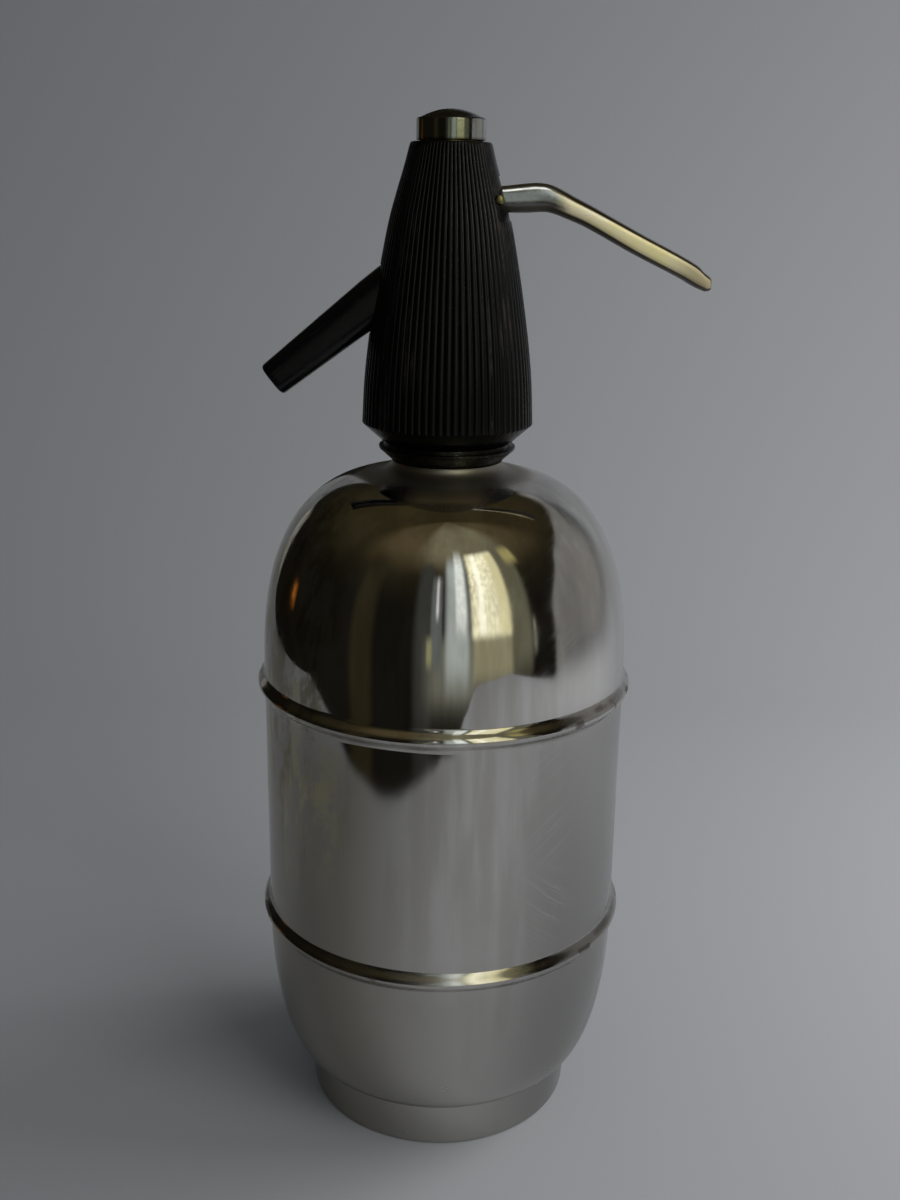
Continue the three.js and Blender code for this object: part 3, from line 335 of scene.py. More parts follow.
def volume(mesh):
    """Six times the volume that a closed mesh holds, below zero if it's inside out."""
    mesh.calc_loop_triangles()
    corners = [vertex.co for vertex in mesh.vertices]
    total = 0
    for triangle in mesh.loop_triangles:
        a, b, c = (corners[index] for index in triangle.vertices)
        total += a.dot(b.cross(c))
    return total


def turned(name, profile, sides=TURNED_SIDES, reach=None):
    """A body of revolution about Z from a loop of (radius, height) points.
    reach gives the radius at an angle, where the body isn't quite round."""
    points = []
    rings = []
    for radius, height in profile:
        if radius == 0:
            rings.append([len(points)])
            points.append((0, 0, height))
            continue
        rings.append(list(range(len(points), len(points) + sides)))
        for side in range(sides):
            angle = 2 * math.pi * side / sides
            out = reach(angle, radius, height) if reach else radius
            points.append((out * math.cos(angle), out * math.sin(angle), height))
    faces = []
    for low, high in zip(rings, rings[1:] + rings[:1]):
        faces.extend(ring_faces(low, high))
    return mesh_object(name, points, faces)


def ring_faces(low, high):
    """The faces between two rings of corners, either of which may be a single point."""
    count = max(len(low), len(high))
    if count == 1:
        return []
    faces = []
    for side in range(count):
        turn = (side + 1) % count
        if len(low) == 1:
            faces.append((low[0], high[turn], high[side]))
        elif len(high) == 1:
            faces.append((low[side], low[turn], high[0]))
        else:
            faces.append((low[side], low[turn], high[turn], high[side]))
    return faces


def lofted(name, rings):
    """A closed body through rings of equal point count, with flat ends."""
    count = len(rings[0])
    points = [point for ring in rings for point in ring]
    indices = [list(range(count * level, count * (level + 1))) for level in range(len(rings))]
    faces = [tuple(reversed(indices[0])), tuple(indices[-1])]
    for low, high in zip(indices, indices[1:]):
        faces.extend(ring_faces(low, high))
    return mesh_object(name, points, faces)


def box_object(name, low, high):
    """A block between two corners, as a tool to cut with."""
    corners = [(x, y, z) for x in (low[0], high[0]) for y in (low[1], high[1]) for z in (low[2], high[2])]
    faces = [(0, 1, 3, 2), (4, 6, 7, 5), (0, 4, 5, 1), (2, 3, 7, 6), (0, 2, 6, 4), (1, 5, 7, 3)]
    return mesh_object(name, corners, faces)


def placed(piece, matrix):
    """Moves the points of a piece, so that its object stays at the origin."""
    piece.data.transform(matrix)
    piece.data.update()
    return piece


def combined(piece, tools, operation="DIFFERENCE"):
    """The piece with every tool cut away from it, or added to it. The tools are used up."""
    for tool in tools:
        modifier = piece.modifiers.new(tool.name, "BOOLEAN")
        modifier.operation = operation
        modifier.solver = "EXACT"
        modifier.object = tool
    graph = bpy.context.evaluated_depsgraph_get()
    mesh = bpy.data.meshes.new_from_object(piece.evaluated_get(graph))
    piece.modifiers.clear()
    piece.data = mesh
    for tool in tools:
        bpy.data.objects.remove(tool)
    return piece


def rounded(corners, steps=5):
    """A loop of points from corners (radius, height, rounding), the rounded ones drawn as short arcs."""
    points = []
    for index, (radius, height, rounding) in enumerate(corners):
        corner = Vector((radius, height))
        if not rounding:
            points.append((radius, height))
            continue
        before = Vector(corners[index - 1][:2]) - corner
        after = Vector(corners[(index + 1) % len(corners)][:2]) - corner
        start = corner + before.normalized() * min(rounding, before.length / 2)
        end = corner + after.normalized() * min(rounding, after.length / 2)
        for step in range(steps + 1):
            share = step / steps
            point = start.lerp(corner, share).lerp(corner.lerp(end, share), share)
            points.append((point.x, point.y))
    return points


def super_quarter(outer, inner, low, high, power, steps):
    """Points of a superellipse quarter between two radii and two heights."""
    points = []
    for step in range(steps):
        angle = step / steps * math.pi / 2
        across = math.cos(angle) ** (2 / power)
        along = math.sin(angle) ** (2 / power)
        points.append((inner + (outer - inner) * across, low + (high - low) * along))
    return points + [(inner, high)]


def super_ellipse(half_across, half_along, power, sides=SECTION_SIDES):
    """The points of a superellipse with two half widths."""
    points = []
    for side in range(sides):
        angle = 2 * math.pi * side / sides
        across = math.copysign(abs(math.cos(angle)) ** (2 / power), math.cos(angle))
        along = math.copysign(abs(math.sin(angle)) ** (2 / power), math.sin(angle))
        points.append((half_across * across, half_along * along))
    return points


def eased(rows, place):
    """The values at a place, on a smooth curve through rows of (place, value, ...)."""
    place = min(max(place, rows[0][0]), rows[-1][0])
    above = next(index for index in range(1, len(rows)) if rows[index][0] >= place)
    low, high = rows[above - 1], rows[above]
    span = high[0] - low[0]
    share = (place - low[0]) / span
    values = []
    for column in range(1, len(low)):
        start = slope(rows, above - 1, column) * span
        end = slope(rows, above, column) * span
        cube, square = share ** 3, share ** 2
        values.append(
            (2 * cube - 3 * square + 1) * low[column] + (cube - 2 * square + share) * start
            + (3 * square - 2 * cube) * high[column] + (cube - square) * end
        )
    return values


def slope(rows, index, column):
    """The slope of a column at a row, from the rows on both sides."""
    before = rows[max(index - 1, 0)]
    after = rows[min(index + 1, len(rows) - 1)]
    return (after[column] - before[column]) / (after[0] - before[0])


def smooth_step(value, low, high):
    share = min(max((value - low) / (high - low), 0), 1)
    return share * share * (3 - 2 * share)


def ring_profile(inner, outer, low, high, rounding):
    return rounded([(inner, low, rounding), (outer, low, rounding), (outer, high, rounding),
                    (inner, high, rounding)])


def plain_rod(name, radius, low, high, sides=SMALL_SIDES):
    return turned(name, [(0, low), (radius, low), (radius, high), (0, high)], sides)


def on_spout_axis(piece):
    """Stands a body made along +Z on the spout's axis, which slants down to -X."""
    turn = Matrix.Rotation(-(math.pi / 2 + SPOUT_ANGLE), 4, "Y")
    return placed(piece, Matrix.Translation((0, 0, SPOUT_AXIS)) @ turn)


def on_pivot(piece):
    """Lays a body made along +Z on the lever pin's axis."""
    return placed(piece, Matrix.Translation(PIVOT) @ Matrix.Rotation(math.pi / 2, 4, "X"))


def finished(piece, body, slot, material, *nodes):
    """Smooths a piece, gives it its finish, and has it stand for its CAD nodes on their body."""
    for face in piece.data.polygons:
        face.use_smooth = True
    piece.data.set_sharp_from_angle(angle=SHARP_ANGLE)
    piece.data.materials.clear()
    piece.data.materials.append(material)
    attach(piece, body)
    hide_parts(*nodes)
    return piece


# Bottle

def shell_profile(inset, steps):
    """The shell's wall from the foot to the neck's top, drawn in by an inset."""
    radius = BODY_RADIUS - inset
    neck = NECK_RADIUS - inset
    top = SHOULDER_TOP - inset
    foot = super_quarter(radius, CURVE_FOOT_RADIUS - inset, CURVE_TOP, FOOT_HEIGHT + inset, 2, steps)
    shoulder = super_quarter(radius, neck, SHOULDER_START, top, SHOULDER_POWER, 2 * steps)
    points = foot[::-1]
    for height in (LOWER_BEAD, UPPER_BEAD):
        points += bead_profile(radius, height, steps)
    points += [point for point in shoulder if point[0] > neck + NECK_COVE_REACH]
    for step in range(steps + 1):
        angle = step / steps * math.pi / 2
        reach = neck + NECK_COVE_REACH * (1 - math.sin(angle))
        share = ((reach - neck) / (radius - neck)) ** SHOULDER_POWER
        dome = SHOULDER_START + (top - SHOULDER_START) * (1 - share) ** (1 / SHOULDER_POWER)
        points.append((reach, dome + NECK_COVE_HEIGHT * (1 - math.cos(angle))))
    return points + [(neck, NECK_TOP)]


def bead_profile(radius, height, steps):
    """One swaged bead: a ridge that runs out in hollows, and a little of the wall beyond them."""
    points = [(radius, height - BEAD_HALF_WIDTH - BEAD_GUARD)]
    for step in range(steps + 1):
        share = 2 * step / steps - 1
        rise = BEAD_RISE * (1 + math.cos(math.pi * share)) / 2
        points.append((radius + rise, height + share * BEAD_HALF_WIDTH))
    return points + [(radius, height + BEAD_HALF_WIDTH + BEAD_GUARD)]


def body_shell(material):
    lip = DISH_RIM_RADIUS + CLEARANCE
    outer = shell_profile(0, SHELL_STEPS)
    inner = shell_profile(SHELL_WALL, SHELL_STEPS // 2)[::-1]
    profile = [(lip, FOOT_HEIGHT)] + outer + inner + [(lip, FOOT_HEIGHT + SHELL_WALL)]
    return finished(turned("shell_fine", profile), "bottle", "steel", material, "body_shell")


def bottom_dish(material):
    def curve(inset):
        rim = DISH_RIM_RADIUS - inset
        return super_quarter(rim, DISH_CROWN_RADIUS, DISH_RIM, DISH_CROWN + inset, 2, DISH_STEPS)

    profile = [(DISH_RIM_RADIUS, DISH_RIM_TOP)] + curve(0) + [(0, DISH_CROWN), (0, DISH_CROWN + DISH_WALL)]
    profile += curve(DISH_WALL)[::-1] + [(DISH_RIM_RADIUS - DISH_WALL, DISH_RIM_TOP)]
    return finished(turned("dish_fine", profile), "bottle", "steel", material, "bottom_dish")


def foot_ring(material):
    top = FOOT_HEIGHT - CLEARANCE
    thick = FOOT_WALL
    profile = rounded([
        (FOOT_RADIUS - FOOT_HEM_WIDTH, 0, SOFT_EDGE),
        (FOOT_RADIUS, 0, FOOT_OUTER_EDGE),
        (FOOT_TOP_RADIUS, top, EDGE),
        (FOOT_TOP_RADIUS - thick, top, EDGE),
        (FOOT_RADIUS - thick, thick, FOOT_INNER_EDGE),
        (FOOT_RADIUS - FOOT_HEM_WIDTH, thick, SOFT_EDGE),
    ])
    return finished(turned("foot_fine", profile), "bottle", "steel", material, "foot_ring")


def thread_shift(angle, height, low, high):
    """How far a thread is cut in at an angle and a height, from 0 to 1. It runs out at both ends."""
    turn = (height - low) / THREAD_PITCH - angle / (2 * math.pi)
    flank = abs(2 * (turn - math.floor(turn)) - 1)
    start = smooth_step(height, low, low + THREAD_RUN_OUT)
    end = 1 - smooth_step(height, high - THREAD_RUN_OUT, high)
    return smooth_step(flank, *THREAD_FLANK_SHARES) * (start * end)


def threaded(wall, low, high, cut):
    """The reach of a body whose wall has a thread between two heights, cut outwards or inwards."""
    def reach(angle, radius, height):
        on_thread = radius == wall and low <= height <= high
        return radius + (cut * thread_shift(angle, height, low, high) if on_thread else 0)

    return reach


def neck_collar(material):
    low, high = COLLAR_TOP + NECK_THREAD_RELIEF, RIM - SOFT_EDGE
    thread = [(THREAD_RADIUS, low + (high - low) * step / THREAD_STEPS) for step in range(THREAD_STEPS + 1)]
    spigot = NECK_RADIUS - SHELL_WALL - CLEARANCE
    below = rounded([
        (COLLAR_BORE_RADIUS, COLLAR_SPIGOT, EDGE),
        (spigot, COLLAR_SPIGOT, EDGE),
        (spigot, COLLAR_SEAT, 0),
        (NECK_RADIUS, COLLAR_SEAT, EDGE),
        (COLLAR_FLANGE_RADIUS, COLLAR_FLANGE, EDGE),
        (COLLAR_FLANGE_RADIUS, COLLAR_BAND, FINE_EDGE),
        (COLLAR_BAND_RADIUS, COLLAR_BAND, FINE_EDGE),
        (COLLAR_BAND_RADIUS, COLLAR_TOP, EDGE),
        (THREAD_RADIUS, COLLAR_TOP, EDGE),
        (THREAD_RADIUS, RIM, SOFT_EDGE),
        (COLLAR_BORE_RADIUS, RIM, SOFT_EDGE),
    ])
    split = next(index for index, point in enumerate(below) if point[1] > low)
    profile = below[:split] + thread + below[split:]
    piece = turned("collar_fine", profile, reach=threaded(THREAD_RADIUS, low, high, -THREAD_DEPTH))
    return finished(piece, "bottle", "chrome", material, "neck_collar")


# Dip tube set

def dip_tube(material):
    low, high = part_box("dip_tube")
    wall = ring_profile(TUBE_BORE_RADIUS, TUBE_RADIUS, low.z, high.z, FINE_EDGE)
    tube = turned("tube_fine", wall, SMALL_SIDES)
    slant = box_object("slant", (-OVERRUN, -OVERRUN, -OVERRUN), (OVERRUN, OVERRUN, 0))
    slant.data.transform(Matrix.Rotation(TUBE_FOOT_SLANT, 4, "Y"))
    placed(slant, Matrix.Translation((0, 0, low.z + TUBE_RADIUS / 2)))
    return finished(combined(tube, [slant]), "tube_set", "steel", material, "dip_tube")


def flat_ring(name, node, inner, body, slot, rounding, material):
    """A flat ring as wide and thick as its CAD node, with rounded edges."""
    low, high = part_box(node)
    profile = ring_profile(inner, high.x, low.z, high.z, rounding)
    return finished(turned(name, profile, SMALL_SIDES), body, slot, material, node)


# Head

def wall_radius(height):
    """The head cover's outer radius at a height, at the crests of its ribs."""
    share = (height - COVER_BEVEL_TOP) / (COVER_TOP - COVER_BEVEL_TOP)
    way, = eased(COVER_SHARES, share)
    return COVER_TOP_RADIUS + (COVER_BASE_RADIUS - COVER_TOP_RADIUS) * way


def flute_depth(angle, radius, height):
    """How deep the flutes are at a place. The lever's side is smooth near the top."""
    from_lever = abs(math.atan2(math.sin(angle), math.cos(angle)))
    side = smooth_step(from_lever, PAD_HALF_ANGLE - PAD_EDGE_ANGLE, PAD_HALF_ANGLE)
    below = 1 - smooth_step(height, PAD_BOTTOM - PAD_HALF_FADE, PAD_BOTTOM + PAD_HALF_FADE)
    taper = (radius / COVER_BASE_RADIUS) ** RIB_TAPER_POWER
    return RIB_DEPTH * taper * max(side, below)


def rib_drop(angle):
    """How far the rounded rib falls away at an angle: 0 at its crest and 1 in the groove."""
    turn = angle * RIB_COUNT / (2 * math.pi)
    across = 2 * (turn - math.floor(turn + 0.5))
    drop = 1 - math.sqrt(1 - RIB_ROUNDNESS * across * across)
    return drop / (1 - math.sqrt(1 - RIB_ROUNDNESS))


def head_cover_blank():
    """The moulding before its openings are cut: bevel, ribbed wall, rounded top, and the cavity inside."""
    low, high = COVER_BEVEL_TOP, COVER_TOP
    heights = [low + (high - low) * step / WALL_STEPS for step in range(WALL_STEPS)]
    wall = [(wall_radius(height), height) for height in heights]
    roof = COVER_TOP - COVER_TOP_THICKNESS
    inner = [(radius - COVER_WALL, height) for radius, height in wall
             if radius - COVER_WALL < COVER_BORE_RADIUS and height < roof]
    top_edge = [(COVER_TOP_RADIUS + KEEN_EDGE - COVER_TOP_EDGE * (1 - math.cos(angle)),
                 COVER_TOP - COVER_TOP_EDGE + COVER_TOP_EDGE * math.sin(angle))
                for angle in (0.3, 0.7, 1.1, math.pi / 2)]
    bevel = [(COVER_BEVEL_RADIUS + (COVER_BASE_RADIUS - COVER_BEVEL_RADIUS) * share,
              HEAD_BOTTOM + (COVER_BEVEL_TOP - HEAD_BOTTOM) * share) for share in (0.1, 0.5, 0.9)]
    profile = [(COVER_BORE_RADIUS, HEAD_BOTTOM), (COVER_BEVEL_RADIUS - EDGE, HEAD_BOTTOM)]
    profile += bevel + [point for point in wall if point[1] < COVER_TOP - COVER_TOP_RELIEF]
    profile += top_edge
    profile += [(COVER_TOP_BORE_RADIUS, COVER_TOP), (COVER_TOP_BORE_RADIUS, roof)]
    profile += inner[::-1] + [(COVER_BORE_RADIUS, inner[0][1] - COVER_KNEE)]

    def reach(angle, radius, height):
        if height < COVER_BEVEL_TOP - COVER_MARGIN or radius <= wall_radius(height) - COVER_MARGIN:
            return radius
        fade = smooth_step(height, *(COVER_BEVEL_TOP + shift for shift in RIB_FOOT_FADE))
        fade *= 1 - smooth_step(height, *(COVER_TOP + shift for shift in RIB_TOP_FADE))
        return radius - flute_depth(angle, radius, height) * rib_drop(angle) * fade

    return turned("cover_fine", profile, RIB_COUNT * RIB_STEPS, reach)


def head_cover(material):
    slot_low = (HUB_RADIUS / 2, -SLOT_HALF_WIDTH, SLOT_BOTTOM)
    slot = box_object("slot", slot_low, (COVER_BASE_RADIUS, SLOT_HALF_WIDTH, SLOT_TOP))
    pin_hole = on_pivot(plain_rod("pin_hole", PIN_RADIUS + PIN_GAP, -COVER_BASE_RADIUS, COVER_BASE_RADIUS))
    opening = nozzle_blank("nozzle_opening", NOZZLE_START - OVERRUN, CLEARANCE)
    piece = combined(head_cover_blank(), [slot, pin_hole, opening])
    mark_crests(piece)
    return finished(piece, "head", "bakelite", material, "head_cover")


def mark_crests(piece):
    """Notes on every point how near it lies to a rib's crest, for the wear and painted sheen in its finish."""
    values = []
    for vertex in piece.data.vertices:
        x, y, z = vertex.co
        if not COVER_BEVEL_TOP - COVER_MARGIN < z < COVER_TOP:
            values.append(0)
            continue
        depth = wall_radius(z) - math.hypot(x, y)
        values.append(min(max(1 - depth / RIB_DEPTH, 0), 1))
    crest = piece.data.attributes.new("crest", "FLOAT", "POINT")
    crest.data.foreach_set("value", values)


def nozzle_section(distance, size, grow):
    points = super_ellipse(size[0] / 2 + grow, size[1] / 2 + grow, NOZZLE_POWER)
    return [(across, along, distance) for across, along in points]


def nozzle_blank(name, start, grow):
    """The nozzle's outside: even inside the head, tapered outside it, its tip edge rounded."""
    length = NOZZLE_END - NOZZLE_ROOT
    rings = [nozzle_section(start, NOZZLE_ROOT_SIZE, grow)]
    for step in range(NOZZLE_STEPS + 1):
        share = step / NOZZLE_STEPS * (1 - NOZZLE_EDGE / length)
        size = [root + (tip - root) * share for root, tip in zip(NOZZLE_ROOT_SIZE, NOZZLE_TIP_SIZE)]
        rings.append(nozzle_section(NOZZLE_ROOT + length * share, size, grow))
    for step in range(1, NOZZLE_EDGE_STEPS + 1):
        angle = step / NOZZLE_EDGE_STEPS * math.pi / 2
        inset = 2 * NOZZLE_EDGE * (1 - math.cos(angle))
        size = [tip - inset for tip in NOZZLE_TIP_SIZE]
        rings.append(nozzle_section(NOZZLE_END - NOZZLE_EDGE * (1 - math.sin(angle)), size, grow))
    return on_spout_axis(lofted(name, rings))


def nozzle(material):
    blank = nozzle_blank("nozzle_fine", NOZZLE_START, 0)
    tools = [
        on_spout_axis(plain_rod("sleeve", SPOUT_SLEEVE_RADIUS, NOZZLE_START - OVERRUN, NOZZLE_END + OVERRUN)),
        on_spout_axis(plain_rod("recess", TIP_RECESS_RADIUS, TIP_RECESS_START, NOZZLE_END + OVERRUN)),
    ]
    return finished(combined(blank, tools), "head", "bakelite", material, "nozzle")


def spout_tube(material):
    start = TIP_RECESS_START + CLEARANCE
    end = start + SPOUT_FLARE_THICKNESS
    profile = rounded([
        (SPOUT_BORE_RADIUS, SPOUT_TUBE_START, KEEN_EDGE),
        (SPOUT_TUBE_RADIUS, SPOUT_TUBE_START, KEEN_EDGE),
        (SPOUT_TUBE_RADIUS, start, KEEN_EDGE),
        (TIP_RECESS_RADIUS - CLEARANCE, start, FINE_EDGE),
        (TIP_RECESS_RADIUS - CLEARANCE, end, FINE_EDGE),
        (SPOUT_BORE_RADIUS, end, SOFT_EDGE),
    ])
    piece = on_spout_axis(turned("spout_fine", profile, SMALL_SIDES))
    return finished(piece, "head", "brass", material, "spout_tube")


def valve_body_blank():
    """Skirt, web, hub and tower turned from one bar, with the thread cut inside the skirt."""
    web_top = WEB + WEB_THICKNESS
    low, high = HEAD_BOTTOM + HEAD_THREAD_RELIEF, WEB - THREAD_RUN_OUT
    heights = [high - (high - low) * step / THREAD_STEPS for step in range(THREAD_STEPS + 1)]
    thread = [(SKIRT_BORE_RADIUS, height) for height in heights]
    profile = [(0, WEB), (SKIRT_BORE_RADIUS, WEB)] + thread + rounded([
        (SKIRT_BORE_RADIUS, HEAD_BOTTOM, EDGE),
        (SKIRT_RADIUS, HEAD_BOTTOM, EDGE),
        (SKIRT_RADIUS, web_top - WEB_THICKNESS / 2, EDGE),
        (SKIRT_RADIUS - WEB_THICKNESS / 2, web_top, EDGE),
        (HUB_RADIUS, web_top, SOFT_EDGE),
        (HUB_RADIUS, HUB_TOP, EDGE),
        (TOWER_RADIUS, HUB_TOP + HUB_RADIUS - TOWER_RADIUS, EDGE),
        (TOWER_RADIUS, TOWER_TOP - CAP_THREAD_LENGTH, FINE_EDGE),
        (CAP_THREAD_RADIUS, TOWER_TOP - CAP_THREAD_LENGTH, KEEN_EDGE),
        (CAP_THREAD_RADIUS, TOWER_TOP, FINE_EDGE),
    ]) + [(0, TOWER_TOP)]
    reach = threaded(SKIRT_BORE_RADIUS, low, high, THREAD_DEPTH)
    return turned("valve_body_fine", profile, 2 * SMALL_SIDES, reach)


def valve_body(material):
    boss = on_spout_axis(plain_rod("boss", SPOUT_BOSS_RADIUS, HUB_RADIUS / 2, SPOUT_BOSS_END))
    chamber = turned("chamber", [
        (SEAT_LIP_RADIUS, CHAMBER_FLOOR),
        (CHAMBER_RADIUS, CHAMBER_FLOOR),
        (CHAMBER_RADIUS, CHAMBER_CEILING),
        (0, CHAMBER_CEILING),
        (0, CHAMBER_FLOOR + SEAT_LIP_HEIGHT),
        (SEAT_LIP_RADIUS, CHAMBER_FLOOR + SEAT_LIP_HEIGHT),
    ], SMALL_SIDES)
    bores = [
        plain_rod("socket", TUBE_RADIUS + CLEARANCE, WEB - OVERRUN, TUBE_SOCKET_TOP),
        plain_rod("seat_hole", SEAT_HOLE_RADIUS, WEB, CHAMBER_FLOOR + OVERRUN),
        chamber,
        plain_rod("guide", GUIDE_BORE_RADIUS, CHAMBER_CEILING - OVERRUN, GLAND),
        plain_rod("packing", PACKING_RADIUS, PACKING, GLAND + OVERRUN),
        plain_rod("tower", TOWER_BORE_RADIUS, GLAND, TOWER_TOP + OVERRUN),
        box_object("tower_slot", (0, -SLOT_HALF_WIDTH, TOWER_SLOT), (PIVOT.x, SLOT_HALF_WIDTH, SLOT_TOP)),
        on_spout_axis(plain_rod("port", SPOUT_BORE_RADIUS, SPOUT_PORT_START, SPOUT_BOSS_END + OVERRUN)),
        on_spout_axis(plain_rod(
            "sleeve", SPOUT_SLEEVE_RADIUS, SPOUT_TUBE_START - CLEARANCE, SPOUT_BOSS_END + OVERRUN)),
    ]
    piece = combined(combined(valve_body_blank(), [boss], "UNION"), bores)
    return finished(piece, "head", "brass", material, "valve_body")


def top_cap(material):
    """A chromed cap: flat side down over the washer, rounded edge and domed top."""
    reach = CAP_RADIUS - CAP_EDGE_RADIUS
    drop = CAP_DOME_TOP - CAP_SIDE_TOP - CAP_EDGE_RADIUS / 2
    dome = [(reach * step / CAP_DOME_STEPS, CAP_DOME_TOP - drop * (step / CAP_DOME_STEPS) ** 2)
            for step in range(CAP_DOME_STEPS + 1)]
    start = Vector((CAP_RADIUS, CAP_SIDE_TOP))
    end = Vector(dome[-1])
    corner = Vector((CAP_RADIUS - KEEN_EDGE, dome[-1][1] - KEEN_EDGE))
    edge = []
    for step in range(1, CAP_EDGE_STEPS):
        share = step / CAP_EDGE_STEPS
        point = start.lerp(corner, share).lerp(corner.lerp(end, share), share)
        edge.append((point.x, point.y))
    profile = rounded([
        (CAP_BORE_RADIUS, CAP_CEILING, KEEN_EDGE),
        (CAP_BORE_RADIUS, CAP_BOTTOM, FINE_EDGE),
        (CAP_RADIUS - CAP_SKIRT_WALL, CAP_BOTTOM, 0),
        (CAP_RADIUS - CAP_SKIRT_WALL, CAP_SKIRT_BOTTOM, KEEN_EDGE),
        (CAP_RADIUS, CAP_SKIRT_BOTTOM, KEEN_EDGE),
        (CAP_RADIUS, CAP_SKIRT_BOTTOM + EDGE, 0),
        (CAP_RADIUS, CAP_SIDE_TOP - FINE_EDGE, 0),
        (CAP_RADIUS, CAP_SIDE_TOP, 0),
    ]) + edge + dome[::-1] + [(0, CAP_CEILING)]
    return finished(turned("cap_fine", profile), "head", "chrome", material, "top_cap")


def cap_washer(material):
    low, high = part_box("cap_washer")
    outer = CAP_RADIUS - CAP_SKIRT_WALL - CLEARANCE
    profile = ring_profile(COVER_TOP_BORE_RADIUS, outer, low.z, high.z, KEEN_EDGE)
    return finished(turned("washer_fine", profile, SMALL_SIDES), "head", "fibre", material, "cap_washer")


def return_spring(material):
    """The spring's coil, which bears against the cap, wound between the ends of its CAD node."""
    low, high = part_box("return_spring")
    start = low.z + SPRING_WIRE_RADIUS
    climb = high.z - SPRING_WIRE_RADIUS - start
    steps = SPRING_TURNS * SPRING_STEPS
    rings = []
    for step in range(steps + 1):
        angle = 2 * math.pi * step / SPRING_STEPS
        outward = Vector((math.cos(angle), math.sin(angle), 0))
        centre = outward * (high.x - SPRING_WIRE_RADIUS) + Vector((0, 0, start + climb * step / steps))
        wire = super_ellipse(SPRING_WIRE_RADIUS, SPRING_WIRE_RADIUS, 2, SPRING_WIRE_SIDES)
        rings.append([centre + outward * across + Vector((0, 0, along)) for across, along in wire])
    piece = finished(lofted("spring_fine", rings), "head", "spring_steel", material, "return_spring")
    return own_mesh(piece)


def lever_pin(material):
    """A riveted pin whose ends stand proud as low domes."""
    end = super_quarter(PIN_RADIUS, 0, PIN_HALF_LENGTH, PIN_HALF_LENGTH + PIN_DOME, 2, PIN_DOME_STEPS)
    foot = [(radius, -height) for radius, height in end][::-1]
    piece = on_pivot(turned("pin_fine", foot + end, SMALL_SIDES))
    return finished(piece, "head", "brass", material, "lever_pin")


# Lever

def arm_ring(place, shrink=1):
    """One section of the arm. The tip's sections stand upright, the others across the arm."""
    rise, thickness, width = eased(ARM_SHARES, place)
    ahead = eased(ARM_SHARES, place + ARM_SLOPE_STEP)[0]
    behind = eased(ARM_SHARES, place - ARM_SLOPE_STEP)[0]
    along = Vector((2 * ARM_SLOPE_STEP * LEVER_REACH, 0, (ahead - behind) * LEVER_DROP)).normalized()
    upright = smooth_step(place, *ARM_UPRIGHT_SHARES)
    up = Vector((-along.z, 0, along.x)).lerp(Vector((0, 0, 1)), upright).normalized()
    middle = PIVOT + Vector((place * LEVER_REACH, 0, rise * LEVER_DROP))
    half_thickness = thickness * LEVER_ROOT_HALF_THICKNESS * shrink
    half_width = LEVER_ROOT_HALF_WIDTH + width * (LEVER_TIP_HALF_WIDTH - LEVER_ROOT_HALF_WIDTH)
    squaring = smooth_step(place, *ARM_SQUARING_SHARES)
    power = LEVER_ROOT_POWER + (LEVER_TIP_POWER - LEVER_ROOT_POWER) * squaring
    points = super_ellipse(half_width * shrink, half_thickness, power)
    return [middle + up * high + Vector((0, across, 0)) for across, high in points]


def tongue_ring(place, thickness):
    points = super_ellipse(TONGUE_HALF_WIDTH, thickness * TONGUE_NOSE_RADIUS, LEVER_ROOT_POWER)
    return [Vector((place * PIVOT.x, across, PIVOT.z + high)) for across, high in points]


def lever(material):
    """A forged lever, bored for the pin: its round root flattens and widens towards the upright tip."""
    rings = [tongue_ring(place, thickness) for place, thickness in TONGUE_SHARES]
    start = ARM_SHARES[0][0]
    rings += [arm_ring(start + (ARM_END_SHARE - start) * step / ARM_STEPS) for step in range(ARM_STEPS + 1)]
    rings += [arm_ring(place, shrink) for place, shrink in ARM_TIP_SHARES]
    nose = plain_rod("nose", TONGUE_NOSE_RADIUS, -TONGUE_HALF_WIDTH, TONGUE_HALF_WIDTH)
    placed(nose, Matrix.Translation((0, 0, PIVOT.z)) @ Matrix.Rotation(math.pi / 2, 4, "X"))
    arm = combined(lofted("lever_fine", rings), [nose], "UNION")
    hole = on_pivot(plain_rod("hole", PIN_RADIUS + CLEARANCE, -OVERRUN, OVERRUN))
    return finished(combined(arm, [hole]), "lever", "lever_plate", material, "lever")


# Finishes

